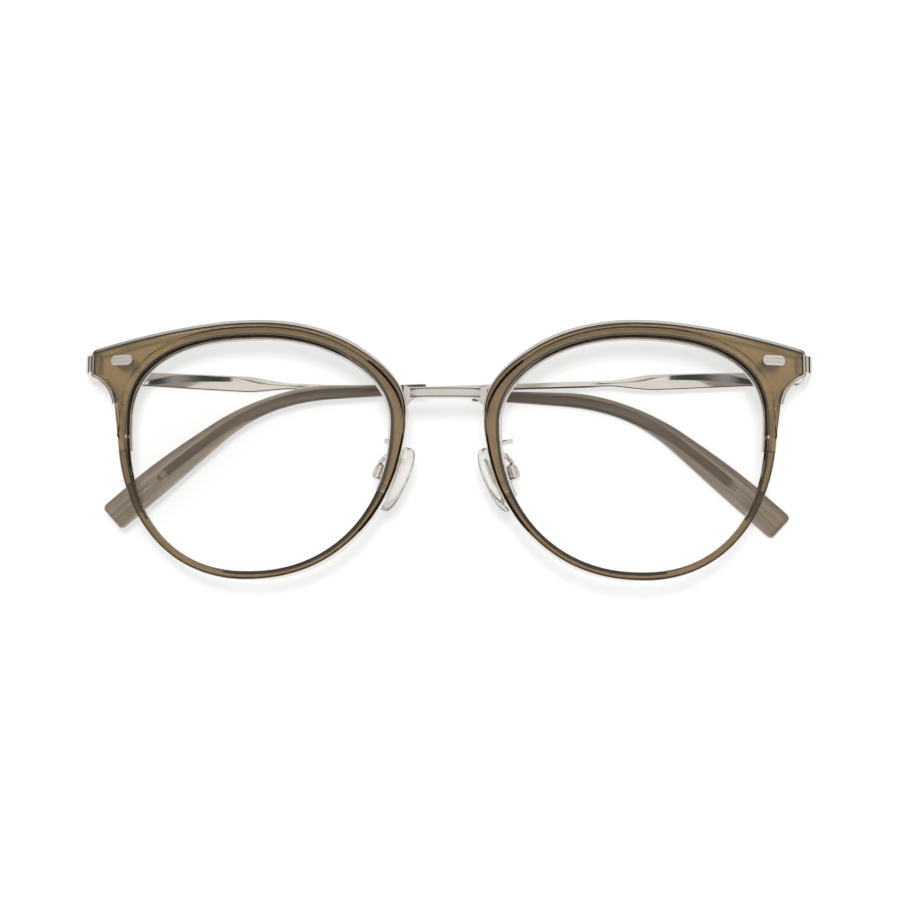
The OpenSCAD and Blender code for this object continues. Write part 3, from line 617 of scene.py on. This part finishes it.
# %% Draw a section of the acetate
RIM_POINTS = 23
GROOVE_DEPTH, GROOVE_HALF = 0.48, 0.5
WALL_LEAN, ROUNDING = 0.32, 0.12


def brow_rise(t, on_end):
    return BROW_RISE * (1 if on_end else max(1 - ease((t - 176) / 6), ease((t - 355.2) / 0.7)))


def step_width(turn):
    return 0.2 + 0.25 * ease((turn - 130) / 20) * (1 - ease((turn - 215) / 20))


def wall_lean(turn):
    return WALL_LEAN * (1 - ease((turn - 120) / 60) if turn < 200 else ease((turn - 325) / 30))


def acetate_section(i):
    t, outer, on_end = stations[i]
    inset = BROW_INSET if on_end else min(brow_edge(t), acetate_width(t) - 0.15)
    rise = brow_rise(t, on_end)
    step, lean = step_width(t % 360), wall_lean(t % 360)
    cut = seat_depth(t, on_end) + SEAT_GAP if on_end or t < EDGE_END else 0
    start, out = beside_opening(t, inset), outward[i]
    over = (outer - start).normalized()
    middle, seat = RIM_T / 2, EDGE_SET - SEAT_GAP
    inner_wall = [(0.12 - lean, RIM_T), (-lean, RIM_T - ROUNDING), (-lean, middle + GROOVE_HALF),
                  (GROOVE_DEPTH, middle), (0, middle - GROOVE_HALF), (0, 0.14), (0.04, 0.04),
                  (0.14, 0), (inset * 0.55, 0), (inset - 0.02, 0)]
    brow = [(start.lerp(outer, 0.02), -rise * 0.15), (start + over * step * 0.6, -rise * 0.85),
            (start + over * step, -rise), (start.lerp(outer - out * 0.25, 0.5), -rise)]
    outer_wall = [(0.32, -rise), (0.17, -rise + 0.03), (0.04, -rise + 0.13), (0, -rise + 0.3),
                  (0, seat), (cut, seat + 0.01), (cut, RIM_T - ROUNDING), (cut + ROUNDING, RIM_T)]
    return ([on_rim(beside_opening(t, width), depth) for width, depth in inner_wall]
            + [on_rim(point, depth) for point, depth in brow]
            + [on_rim(outer - out * inward, depth) for inward, depth in outer_wall]
            + [on_rim(start.lerp(outer, 0.4), RIM_T)])


print("points of a section:", len(acetate_section(0)))

# %% Shape the acetate rims
# Strips painted with the wall shade: the groove, the outer wall, the step of the brow, and the
# short wall where the brow ends at the join.
GROOVE, OUTER_WALL, BROW_STEP = [2, 3, 4], [15, 16, 17], [9, 10, 11]
JOIN_FROM, JOIN_STRIPS = 355, list(range(9, 17))


def is_over_plate(t, on_end):
    return on_end or t <= PLATE_END or t > PLATE_FROM


def shaded_wall_strips(t, on_end):
    """Which strips of faces get the painted shade of the walls. The rest is polished."""
    if JOIN_FROM <= t < LOW_JOIN and not on_end:
        return JOIN_STRIPS
    groove = GROOVE if is_over_plate(t, on_end) or t > 320 else []
    step = BROW_STEP if 140 < t < 222 and not on_end else []
    return groove + OUTER_WALL + step


for side in SIDES:
    mesh = bmesh.new()
    strips = loft(mesh, [acetate_section(i) for i in range(len(stations))], closed=True)
    # Finish 1 is the painted shade of the walls, finish 2 the paler acetate over the plate.
    for (t, outer, on_end), strip in zip(stations, strips):
        walls, sheet = shaded_wall_strips(t, on_end), 2 if is_over_plate(t, on_end) else 0
        for j, face in enumerate(strip):
            face.material_index = 1 if j in walls else sheet
    finish_piece(side + "_brow_rim", mesh, "acetate acetate_edge acetate_on_plate",
                 side_matrix(side) @ AT_RIM, "front", side + "_acetate_rim")
report("acetate rim")

# %% [markdown]
# ## Metal rims
# The silver edge is a thin band round the outside of the acetate, with a plate behind the
# upper half. On the real frame they are one stamped part. Two lofts along the same
# stations give the band, which narrows until it ends below, and the plate, whose sloped
# inner lip shows as a bright line in the opening.

# %% Draw a section of the silver edge
EDGE_W, EDGE_R, THIN_R = 0.6, 0.12, 0.06
END_RISE, LOW_RISE, LOW_BACK = 0.25, 0.65, 0.35


def edge_width(t):
    return EDGE_W - 0.4 * ease((t - 120) / 50) - 0.12 * ease((t - 180) / 60)


def metal_section(i):
    t, outer, on_end = stations[i]
    out = outward[i]
    wide = EDGE_W if on_end else edge_width(t)
    near, far = outer + out * wide, outer - out * seat_depth(t, on_end)
    r = EDGE_R if wide > 0.3 else THIN_R
    fade = 0 if on_end else ease((t - FADE_FROM) / FADE_OVER)
    back = BACK_OF_PLATE - (BACK_OF_PLATE - EDGE_SET - LOW_BACK) * fade
    top = END_RISE if on_end else EDGE_SET - LOW_RISE * (1 - ease((t - EDGE_END + 20) / 15))
    return [
        on_rim(far, EDGE_SET), on_rim(outer, EDGE_SET), on_rim(outer + out * 0.01, top),
        on_rim(near - out * r, top), on_rim(near - out * r * 0.3, top + r * 0.3),
        on_rim(near, top + r), on_rim(near, (EDGE_SET + back) / 2), on_rim(near, back - r),
        on_rim(near - out * r, back), on_rim(far, back)]


print("silver edge in mm: at the brow", EDGE_W, "and below", round(edge_width(270), 2))

# %% Draw a section of the plate
LIP_SLOPE, LIP_RUN = 0.2, 0.06


def plate_section(i):
    t, outer, on_end = stations[i]
    hole, lip = beside_opening(t, -PLATE_LIP), beside_opening(t, -PLATE_LIP + LIP_RUN)
    rim = outer - outward[i] * 0.1
    front, back = RIM_T + SEAT_GAP, BACK_OF_PLATE - 0.005
    return [
        on_rim(hole, front + LIP_SLOPE), on_rim(lip, front + LIP_SLOPE - 0.06),
        on_rim(beside_opening(t, 0.05), front), on_rim(hole.lerp(rim, 0.6), front),
        on_rim(rim, front), on_rim(rim, back), on_rim(hole.lerp(rim, 0.5), back),
        on_rim(lip, back), on_rim(hole, back - 0.06)]


print("the plate's lip shows by", PLATE_LIP, "mm")

# %% Shape the metal rims
SATIN_STRIPS = (2, 3)
start = next(i for i, station in enumerate(stations) if station[2])
around = list(range(start, len(stations))) + list(range(start))
edge_run = [i for i in around if stations[i][2] or stations[i][0] < EDGE_END]
plate_run = [i for i in range(start) if stations[i][0] > PLATE_FROM]
plate_run += [i for i in around if stations[i][2] or stations[i][0] <= PLATE_END]
for side in SIDES:
    mesh = bmesh.new()
    loft(mesh, [metal_section(i) for i in edge_run])
    for strip in loft(mesh, [plate_section(i) for i in plate_run]):
        for j in SATIN_STRIPS:
            strip[j].material_index = 1
    finish_piece(side + "_silver_rim", mesh, "silver satin_silver", side_matrix(side) @ AT_RIM,
                 "front", side + "_metal_rim")
report("metal rim")

# %% [markdown]
# ## Lenses
# A lens is a thin curved disc of clear plastic with a V ground round its edge, which sits
# in the groove. Each face is a patch of a sphere. It could be cut from two spheres, but
# rings that shrink towards the middle keep the faces even and follow the opening. A lens
# throws no shadow here: Cycles would draw it as dark as a solid disc, while a real one
# lets the light through.

# %% Shape the lenses
LENS_T = 1.9
LENS_FRONT = (RIM_T - LENS_T) / 2
LENS_BACK = LENS_FRONT + LENS_T
LENS_REACH, BEVEL_REACH, V_REACH, V_HALF = 0.2, 0.09, 0.42, 0.45
SHARES = [1, 0.9, 0.75, 0.6, 0.45, 0.3, 0.15, 0.02]


def lens_ring(scale, depth, inside=0.05):
    return [on_rim(beside_opening(t, -inside) * scale, depth) for t in range(0, 360, 3)]


def lens_face(depth):
    return [lens_ring(k, depth, BEVEL_REACH if k == 1 else LENS_REACH) for k in SHARES]


lens_edge = [lens_ring(1, LENS_FRONT + 0.05), lens_ring(1, RIM_T / 2 - V_HALF),
             lens_ring(1, RIM_T / 2, -V_REACH), lens_ring(1, RIM_T / 2 + V_HALF),
             lens_ring(1, LENS_BACK - 0.05)]
for side in SIDES:
    mesh = bmesh.new()
    strips = loft(mesh, lens_face(LENS_FRONT)[::-1] + lens_edge + lens_face(LENS_BACK))
    # The ground edge takes finish 1, the painted shade.
    for strip in strips[len(SHARES):len(SHARES) + len(lens_edge) - 1]:
        for face in strip:
            face.material_index = 1
    lens = finish_piece(side + "_clear_lens", mesh, "lens ground_edge",
                        side_matrix(side) @ AT_RIM, "front", side + "_lens")
    lens.visible_shadow = False
report("lens")

# %% [markdown]
# ## Bridge
# The bar is bowed forward and rounded over its front. Under each end a web flares down
# into the metal rim, and the bar's end stands proud of it with a small chamfer. A bevelled
# box could be bent to the bow, but the flare needs sections of its own, so both are lofts.

# %% Draw a section of the bridge
BRIDGE_Y, BRIDGE_H, BRIDGE_T, BOW, SPAN = 11.3, 2.1, 1.5, 1.1, 10.25
BOW_R = (SPAN ** 2 + BOW ** 2) / (2 * BOW)
BRIDGE_Z = (AT_RIM @ on_rim(Vector((-HALF_W - 1, BRIDGE_Y)), EDGE_SET + 0.1)).z
WAIST, UNDER_CUT = 0.45, 0.15


def bow_z(x):
    return BRIDGE_Z + BOW - BOW_R + math.sqrt(BOW_R ** 2 - x * x)


def bar_section(x, y0, y1, front, back, squareness=0.8):
    z1, z0 = bow_z(x) + front, bow_z(x) - BRIDGE_T + back
    middle, half, waist = (y0 + y1) / 2, (y1 - y0) / 2, z0 + WAIST * (z1 - z0)
    top = [(middle + half * power(cos(a), squareness),
            waist + (z1 - waist) * power(sin(a), squareness)) for a in range(0, 181, 12)]
    under = [(y0, z0 + UNDER_CUT), (y0 + UNDER_CUT, z0), (y1 - UNDER_CUT, z0), (y1, z0 + UNDER_CUT)]
    return [Vector((x, y, z)) for y, z in top + under]


print("radius of the bow in mm:", round(BOW_R, 1))

# %% Shape the bridge
BAR_AT = [-6.6, -6.55, -5.5, -5.45, -4, -2, 0, 2, 4, 5.45, 5.5, 6.55, 6.6]
WEB_AT = [5.2, 5.7, 6.1, 6.5, 6.9, 7.2, 7.5, 7.8]
CHAMFER, END_DROP, DROP_FROM, DROP_OVER = 0.2, 0.24, 5.45, 1.1
FLARE, WEB_INSET = 1.7, 0.04
low, high = BRIDGE_Y - BRIDGE_H / 2, BRIDGE_Y + BRIDGE_H / 2


def bar_at(x):
    chamfer = CHAMFER if abs(x) > 6.55 else 0
    drop = -END_DROP * max(0, abs(x) - DROP_FROM) / DROP_OVER
    return bar_section(x, low + chamfer, high - chamfer, drop, 0)


def web_at(x):
    flare = FLARE * max(0, (abs(x) - SPAN * 0.46 - 0.5) / (SPAN * 0.205)) ** 2
    return bar_section(x, low - flare + WEB_INSET, high + 0.25 * flare - WEB_INSET, -0.5, 0.04, 0.4)


mesh = bmesh.new()
loft(mesh, [bar_at(x) for x in BAR_AT])
for way in (-1, 1):
    loft(mesh, [web_at(way * x) for x in WEB_AT])
finish_piece("bridge_bar", mesh, "silver", LYING, "front", "bridge", sharp=20)
report("bridge")

# %% [markdown]
# ## Temples
# A temple is a metal arm that starts as a flat bar, turns through a twisted facet into a
# thin wire, and ends in a tip of translucent acetate with the wire as its core. Both
# follow one middle line: straight, then a bend over the ear. A curve object with a bevel
# has one section all along, so the arm and the tip are lofts on the middle line. Each
# point also keeps its place on the straight temple, for the brush lines and streaks.

# %% Draw the middle line of a temple
AXIS = Vector((67.0344, 18.05, -20.6))
FOLDED = {"right": 2.0, "left": -3.0}
ARM_FACE, ARM_T, OVERHANG = 1.1, 1.2, 0.9
WIDE_AT, THIN_AT, TIP_AT, BEND_AT, LENGTH, CORE_END = 27.0, 37.0, 71.5, 89.4, 139.6, 128.1
SLOPE, BEND_ANGLE, BEND_R, TIP_CURVE = 2.5, 35.5, 38.5, 0.16
BEND_ARC = BEND_R * math.radians(BEND_ANGLE)
STEP = 0.5


def heading(s):
    if s < BEND_AT:
        return SLOPE
    if s < BEND_AT + BEND_ARC:
        return SLOPE + math.degrees((s - BEND_AT) / BEND_R)
    return SLOPE + BEND_ANGLE + (s - BEND_AT - BEND_ARC) * TIP_CURVE


track = [Vector((0, 0))]
for i in range(int(LENGTH / STEP) + 4):
    h = heading((i + 0.5) * STEP)
    track.append(track[-1] + STEP * Vector((cos(h), -sin(h))))


def temple_point(s):
    i = max(0, int(s / STEP))
    h = heading(s)
    return track[i] + (s - i * STEP) * Vector((cos(h), -sin(h)))


print("temple in mm: along its line", LENGTH, "and straight", round(temple_point(LENGTH).length, 1))

# %% Set sections across the middle line
def across(s, section, z=0.0):
    p, h = temple_point(s), heading(s)
    return [Vector((p.x + y * sin(h), p.y + y * cos(h), z + q)) for y, q in section]


def straight(s, section, z=0.0):
    return [Vector((s, y, z + q)) * MM for y, q in section]


def loft_temple(mesh, sections):
    loft(mesh, [across(*section) for section in sections],
         laid=[straight(*section) for section in sections])


def temple_matrix(side):
    hinge = Matrix.Translation((-AXIS.x, AXIS.y, AXIS.z))
    fold = Matrix.Rotation(math.radians(FOLDED[side]), 4, "Y")
    inward = Matrix.Translation((0, 0, -ARM_FACE - ARM_T))
    return side_matrix(side) @ MIRROR @ hinge @ fold @ inward


print("folded by", FOLDED, "degrees")

# %% Draw a section of the arm
BAR_H, BAR_GAIN, WIRE_H, CORE_GAIN = 2.75, 0.45, 1.1, 0.5
ARM_CHAMFER, TWIST_DROP = 0.15, 0.8
# Along the arm, and the facet's two edges as shares of the arm's height.
FACET = [(-1, 0.0, 0.1), (5, 0.02, 0.2), (9, 0.06, 0.5), (13, 0.25, 0.93), (18, 0.48, 0.97),
         (24, 0.58, 0.93), (28, 0.6, 0.8), (33, 0.45, 0.65), (38, 0.3, 0.6), (45, 0.3, 0.6)]


def arm_height(s):
    widest = BAR_H + BAR_GAIN
    if s < WIDE_AT:
        return BAR_H + BAR_GAIN * ease(s / WIDE_AT)
    if s < THIN_AT:
        return widest - (widest - WIRE_H) * ease((s - WIDE_AT) / (THIN_AT - WIDE_AT))
    return WIRE_H + CORE_GAIN * ease((s - BEND_AT) / (CORE_END - BEND_AT))


def facet_at(s):
    for (s0, a0, b0), (s1, a1, b1) in zip(FACET, FACET[1:]):
        if s <= s1:
            k = max(0, (s - s0) / (s1 - s0))
            return a0 + (a1 - a0) * k, b0 + (b1 - b0) * k
    return FACET[-1][1:]


def arm_section(s):
    half, t, c = arm_height(s) / 2, ARM_T, ARM_CHAMFER
    low, high = facet_at(s)
    flat = 2 * half - 2 * c
    drop = TWIST_DROP * ease((s + 1) / 6) * (1 - ease((s - 31) / 9))
    return [(-half + c, 0), (half - c, 0), (half, c), (half, t - drop - c), (half - c, t - drop),
            (-half + c + flat * high, t - drop), (-half + c + flat * low, t), (-half + c, t),
            (-half, t - c), (-half, c)]


print("height of the arm at its widest and thinnest:",
      [round(arm_height(s), 2) for s in (WIDE_AT, THIN_AT)])

# %% Draw a section of the tip
SLEEVE_H, TIP_GAIN, SLEEVE_T, TIP_THICKENS = 2.2, 3.6, 2.2, 0.4
TIP_ROUND, CORE_GAP = 0.42, 0.05
QUARTERS = ((1, -1, -90), (1, 1, 0), (-1, 1, 90), (-1, -1, 180))


def tip_height(s):
    early, late = ease((s - TIP_AT - 6) / 18), ease((s - TIP_AT - 28) / 32)
    return SLEEVE_H + TIP_GAIN * (0.2 * early + 0.8 * late)


def tip_thickness(s):
    return SLEEVE_T + TIP_THICKENS * ease((s - TIP_AT) / 60)


def arm_rise(s):
    """Lift the thin wire towards the middle of the tip's thickness."""
    return (tip_thickness(s) - ARM_T) / 2 * ease((s - THIN_AT) / (TIP_AT - THIN_AT))


def tip_section(s, shrink=0.0):
    h, t = tip_height(s) - 2 * shrink, tip_thickness(s) - 2 * shrink
    r = min(h, t) * TIP_ROUND
    middle = tip_thickness(s) / 2
    corners = [(y, z, start + 22.5 * i) for y, z, start in QUARTERS for i in range(5)]
    return [(y * (h / 2 - r) + r * cos(a), middle + z * (t / 2 - r) + r * sin(a))
            for y, z, a in corners]


def core_hole(s):
    h, z = arm_height(s) / 2 + CORE_GAP, arm_rise(s)
    low, high = z - CORE_GAP, z + ARM_T + CORE_GAP
    return [(-h, high), (h, high), (h, low), (-h, low)]


print("end of the tip in mm:", round(tip_height(LENGTH), 2), "x", round(tip_thickness(LENGTH), 2))

# %% Shape the metal arms
BAR_STEP, BAR_COUNT, WIRE_FROM, WIRE_STEP, WIRE_COUNT = 0.9, 48, 43, 2.5, 34
spots = [-OVERHANG + 0.3 + BAR_STEP * i for i in range(BAR_COUNT)]
spots += [WIRE_FROM + WIRE_STEP * i for i in range(WIRE_COUNT)]
spots = [s for s in spots if s < CORE_END - 1.5] + [CORE_END - 1.2]
for side in SIDES:
    mesh = bmesh.new()
    mesh.verts.layers.float_vector.new("laid")
    end = [(y * 0.86, 0.3 + q * 0.6) for y, q in arm_section(-OVERHANG)]
    tail = [(y * 0.5, 0.3 + q * 0.5) for y, q in arm_section(CORE_END)]
    sections = [(-OVERHANG, end, 0)] + [(s, arm_section(s), arm_rise(s)) for s in spots]
    loft_temple(mesh, sections + [(CORE_END, tail, arm_rise(CORE_END))])
    finish_piece(side + "_twisted_arm", mesh, "arm_silver", temple_matrix(side),
                 side + "_temple", side + "_temple_arm", sharp=16)
report("arm")

# %% Shape the acetate tips
SECTION_STEP, HOLE_STEP = 1.5, 3
# How far before the end, and how much smaller, each section of the rounded end is.
ROUNDED_END = ((1.0, 0.0), (0.6, 0.08), (0.3, 0.24), (0.1, 0.46), (0.0, 0.75))
for side in SIDES:
    mesh = bmesh.new()
    mesh.verts.layers.float_vector.new("laid")
    sections = [(TIP_AT + 0.02, tip_section(TIP_AT, 0.2))]
    sections += [(TIP_AT + 0.15 + SECTION_STEP * i, tip_section(TIP_AT + SECTION_STEP * i))
                 for i in range(45)]
    sections = [section for section in sections if section[0] < LENGTH - 1.2]
    sections += [(LENGTH - before, tip_section(LENGTH, shrink)) for before, shrink in ROUNDED_END]
    loft_temple(mesh, sections)
    core_spots = [TIP_AT + 0.6 + HOLE_STEP * i for i in range(19)]
    loft_temple(mesh, [(s, core_hole(s)) for s in core_spots])
    finish_piece(side + "_sleeve", mesh, "tip_acetate", temple_matrix(side),
                 side + "_temple", side + "_temple_tip")
report("tip")

# %% [markdown]
# ## Nose pads
# Each pad is a soft clear D-shaped cushion. It leans with the side of the nose, and is
# thickest in its middle. A squashed sphere would be too pointed, so rings along the pad
# follow a squarer curve and crowd together at both ends, where it rounds off.

# %% Shape the nose pads
PAD_L, PAD_W, PAD_T, PAD_RINGS = 13.0, 8.3, 3.0, 24
AT_PAD = (Matrix.Translation((10.3, -3.8, -9.6)) @ Matrix.Rotation(math.radians(22), 4, "Z")
          @ Matrix.Rotation(math.radians(-35), 4, "Y"))


def pad_ring(k):
    a = 180 * k
    r = max(0.04, sin(a))
    wide = PAD_W / 2 * r ** 0.8 * (1 - 0.05 * cos(a))
    thick = PAD_T / 2 * r ** 0.6
    back, along = -0.4 - 0.5 * (1 - r), 0.2 - PAD_L / 2 * cos(a)
    return [Vector((thick * power(cos(b), 0.8) + back, along, 0.15 - wide * power(sin(b), 0.85)))
            for b in range(0, 360, 15)]


for side in SIDES:
    mesh = bmesh.new()
    loft(mesh, [pad_ring(0.5 - 0.5 * cos(180 * i / PAD_RINGS)) for i in range(PAD_RINGS + 1)])
    finish_piece(side + "_soft_pad", mesh, "silicone", side_matrix(side) @ AT_PAD,
                 side + "_pad", side + "_nose_pad", sharp=60)
report("nose pad")

# %% [markdown]
# ## Pad boxes
# Each pad hangs in a small pressed cup with rounded corners, open towards the pad. One
# loft goes up the inside from the floor, over the rim and down the outside, so that the
# cup has a real hollow for the pad's post.

# %% Shape the pad boxes
# For each ring: its place along the cup, its length, its width and its corner radius.
CUP_RINGS = ((3.68, 2.5, 1.7, 0.6), (1.92, 2.5, 1.7, 0.6), (1.9, 3.1, 2.3, 0.8),
             (1.96, 3.2, 2.4, 0.85), (3.1, 3.2, 2.4, 0.85), (3.6, 2.95, 2.15, 0.8),
             (3.88, 2.5, 1.7, 0.6), (4.0, 1.8, 1.1, 0.4))
CUP_CORNERS = ((1, 1, 0), (-1, 1, 90), (-1, -1, 180), (1, -1, 270))


def cup_ring(x, length, width, corner):
    corners = [(y, z, start + 22.5 * i) for y, z, start in CUP_CORNERS for i in range(5)]
    return [Vector((x, y * (length / 2 - corner) + corner * cos(a),
                    z * (width / 2 - corner) + corner * sin(a))) for y, z, a in corners]


for side in SIDES:
    mesh = bmesh.new()
    loft(mesh, [cup_ring(*ring) for ring in CUP_RINGS])
    finish_piece(side + "_pad_cup", mesh, "silver", side_matrix(side) @ AT_PAD,
                 "front", side + "_pad_box")
report("pad box")

# %% [markdown]
# ## Painted shade round the rivets
# Two rivets hold each plaque, through holes drilled in the acetate. Round the pins a patch of
# shade shows dark inside the translucent brow. The pins fill the holes, so a plain dark
# cylinder round each pin, in the painted edge shade, stands for that shade.

# %% Make the dark cylinders of painted shade round the rivets
PLAQUE_U, PLAQUE_V = END_U - 5.4, 18.05
PIN_SPACING, HOLE_R, HOLE_DEPTH, HOLE_MIDDLE = 2.4, 0.78, 1.3, -0.6
AT_PLAQUE = (AT_RIM @ Matrix.Translation((0, 0, -BASE_R))
             @ Matrix.Rotation(math.atan(PLAQUE_U / BASE_R), 4, "Y")
             @ Matrix.Rotation(-math.asin(PLAQUE_V / BASE_R), 4, "X")
             @ Matrix.Translation((0, 0, BASE_R)))
for side in SIDES:
    mesh = bmesh.new()
    for x in (-PIN_SPACING / 2, PIN_SPACING / 2):
        bmesh.ops.create_cone(mesh, cap_ends=True, segments=24, radius1=HOLE_R, radius2=HOLE_R,
                              depth=HOLE_DEPTH, matrix=Matrix.Translation((x, 0, HOLE_MIDDLE)))
    finish_piece(side + "_rivet_shade", mesh, "ground_edge", side_matrix(side) @ AT_PLAQUE,
                 "front", side + "_rivet_plaque")
report("rivet holes")

# %% [markdown]
# ## Small metal parts
# The lugs, hinges, screws, plaques and pad fittings keep the CAD's exact shape. They could
# be used as they are, but a CAD edge is sharper than any real one. So a copy is welded
# along its edges, flat faces are joined up again, and a small bevel softens the edges, as
# tumbling and polishing does on the real parts. The round wire of a pad arm has no edges,
# and only gets its finish.

# %% Copy a CAD node and soften its edges
COPY_WELD, FLAT_ANGLE = 0.002 * MM, 1


def softened(name, bevel):
    node = frame["nodes"][name]
    mesh = bmesh.new()
    mesh.from_mesh(node.data)
    bmesh.ops.remove_doubles(mesh, verts=mesh.verts, dist=COPY_WELD)
    bmesh.ops.dissolve_limit(mesh, angle_limit=math.radians(FLAT_ANGLE), verts=mesh.verts,
                             edges=mesh.edges)
    piece = link_piece(name + "_soft", mesh, slots[name], node["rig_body"], name, SHARP_ANGLE)
    if bevel:
        soft = piece.modifiers.new("soft edges", "BEVEL")
        soft.width = bevel * MM
        soft.segments = 2
        soft.limit_method = "ANGLE"
        soft.angle_limit = math.radians(SHARP_ANGLE)
        soft.harden_normals = False
        shade_evenly(piece)


BEVELS = {"end_lug": 0.1, "rivet_plaque": 0.04, "front_hinge": 0.06, "hinge_screw": 0.05,
          "temple_hinge": 0.06, "pad_arm": 0, "pad_screw": 0.04, "pad_insert": 0.06}
for kind, bevel in BEVELS.items():
    for side in SIDES:
        softened(side + "_" + kind, bevel)
print("softened copies:", 2 * len(BEVELS), "and pieces in all:", len(pieces))

# %% [markdown]
# ## Table
# The glasses lie on a white table. A solid floor would hide the temples when they open,
# because the front lies face up and they swing down through the table. So the floor is a
# thin sheet of milk glass: half of the light goes through it to the white room below, and
# the other half is scattered, which keeps the shadows. From 0.25 m out the milk fades, so
# that the sheet ends without a visible horizon.

# %% Lay the table
TABLE_HALF, MILK_SHARE, FADE_START, FADE_END = 3.0, 0.5, 0.25, 0.8
mesh = bmesh.new()
bmesh.ops.create_grid(mesh, x_segments=1, y_segments=1, size=TABLE_HALF)
table_mesh = bpy.data.meshes.new("table")
mesh.to_mesh(table_mesh)
mesh.free()
table = bpy.data.objects.new("table", table_mesh)
bpy.context.scene.collection.objects.link(table)
print("table in m:", 2 * TABLE_HALF, "square")

# %% Make the milk glass
milk_glass, tree, surface = new_material("milk_glass")
milk = add(tree, "ShaderNodeBsdfDiffuse", Color=linear("#ffffff"))
clear = add(tree, "ShaderNodeBsdfTransparent")
spot = add(tree, "ShaderNodeTexCoord").outputs["Object"]
away = add(tree, "ShaderNodeVectorMath", {"operation": "LENGTH"}, _0=spot).outputs["Value"]
share = add(tree, "ShaderNodeMapRange", {"interpolation_type": "SMOOTHSTEP"}, Value=away,
            From_Min=FADE_START, From_Max=FADE_END, To_Min=MILK_SHARE, To_Max=0.0)
sheet = add(tree, "ShaderNodeMixShader", Fac=share.outputs[0], _1=clear.outputs[0],
            _2=milk.outputs[0])
plug(tree, tree.nodes["Material Output"], Surface=sheet.outputs[0])
tree.nodes.remove(surface)
table_mesh.materials.append(milk_glass)
print("milk glass: fading from", FADE_START, "m out")

# %% [markdown]
# ## Light
# A studio tent gives soft white light from above and leaves the horizon dark, which draws
# thin dark lines in the metal and the acetate. The world does this with a gradient of its
# height. What the camera sees, directly or through the lenses and the acetate, is plain
# white, and so is all that lies below the table.

# %% Light the room
HORIZON_LIGHT, ZENITH_LIGHT, DARK_BELOW, BRIGHT_ABOVE = 0.04, 0.9, 0.25, 0.85
world = bpy.data.worlds.new("room")
bpy.context.scene.world = world
world.use_nodes = True
tree = world.node_tree
direction = add(tree, "ShaderNodeTexCoord").outputs["Generated"]
height = add(tree, "ShaderNodeSeparateXYZ", _0=direction).outputs["Z"]
brightness = add(tree, "ShaderNodeMapRange", {"interpolation_type": "SMOOTHSTEP"}, Value=height,
                 From_Min=DARK_BELOW, From_Max=BRIGHT_ABOVE, To_Min=HORIZON_LIGHT,
                 To_Max=ZENITH_LIGHT)
path = add(tree, "ShaderNodeLightPath")
below = add(tree, "ShaderNodeMath", {"operation": "LESS_THAN"}, _0=height, _1=0.0)
through = add(tree, "ShaderNodeMath", {"operation": "MAXIMUM"},
              _0=path.outputs["Is Camera Ray"], _1=path.outputs["Is Transmission Ray"])
white = add(tree, "ShaderNodeMath", {"operation": "MAXIMUM"}, _0=through.outputs[0],
            _1=below.outputs[0])
seen = add(tree, "ShaderNodeMix", {"data_type": "FLOAT"}, _0=white.outputs[0],
           _2=brightness.outputs[0], _3=1.0)
plug(tree, tree.nodes["Background"], Strength=seen.outputs[0], Color=linear("#ffffff"))
print("world: from", HORIZON_LIGHT, "at the horizon to", ZENITH_LIGHT, "overhead")

# %% [markdown]
# ## Key lamp
# One small lamp overhead draws the soft shadows close under the rims. A sun would give
# them too, but a lamp at one metre spreads them outwards as in a real tent. It is left out
# of reflections, where it would show as a square in the lenses.

# %% Hang the key lamp
KEY_SIZE, KEY_WATTS = 0.12, 4.95
KEY_PLACE, KEY_AIM = Vector((0, -0.02, 1.0)), Vector((0, 0, 0))
key_light = bpy.data.lights.new("key", "AREA")
key_light.shape = "RECTANGLE"
key_light.size = key_light.size_y = KEY_SIZE
key_light.energy = KEY_WATTS
key = bpy.data.objects.new("key", key_light)
key.location = KEY_PLACE
key.rotation_mode = "QUATERNION"
key.rotation_quaternion = (KEY_AIM - KEY_PLACE).to_track_quat("-Z", "Y")
key.visible_glossy = False
key.visible_transmission = False
bpy.context.scene.collection.objects.link(key)
print("key lamp:", KEY_WATTS, "W at", round(KEY_PLACE.length, 2), "m")

# %% [markdown]
# ## Camera
# The camera looks down from 0.54 m, some 9 degrees off the upright. Its small yaw and roll,
# and the shift of the lens, were fitted so that the rims, the bridge and the tips fall
# where they do in the photograph.

# %% Place the camera
CAMERA_DISTANCE = 0.5429
CAMERA_AIM = Vector((-0.47, -0.75, 25.23)) * MM
CAMERA_YAW = math.radians(0.39)
CAMERA_PITCH = math.radians(9.3)
CAMERA_ROLL = math.radians(0.48)
CAMERA_SHIFT = (0.0061, 0.0008)
PIXELS_PER_METRE = 5360
PHOTO_SIZE = 900
camera_data = bpy.data.cameras.new("camera")
camera_data.sensor_width = 36
camera_data.lens = PIXELS_PER_METRE * CAMERA_DISTANCE / PHOTO_SIZE * camera_data.sensor_width
camera_data.shift_x, camera_data.shift_y = CAMERA_SHIFT
camera_data.clip_start = 0.01
camera = bpy.data.objects.new("camera", camera_data)
camera.matrix_world = (
    Matrix.Translation(CAMERA_AIM)
    @ Matrix.Rotation(CAMERA_YAW, 4, "Y")
    @ Matrix.Rotation(CAMERA_PITCH, 4, "X")
    @ Matrix.Rotation(CAMERA_ROLL, 4, "Z")
    @ Matrix.Translation((0, 0, CAMERA_DISTANCE))
)
bpy.context.scene.collection.objects.link(camera)
bpy.context.scene.camera = camera
bpy.context.scene.view_settings.view_transform = "Standard"
print("lens in mm:", round(camera_data.lens, 1))
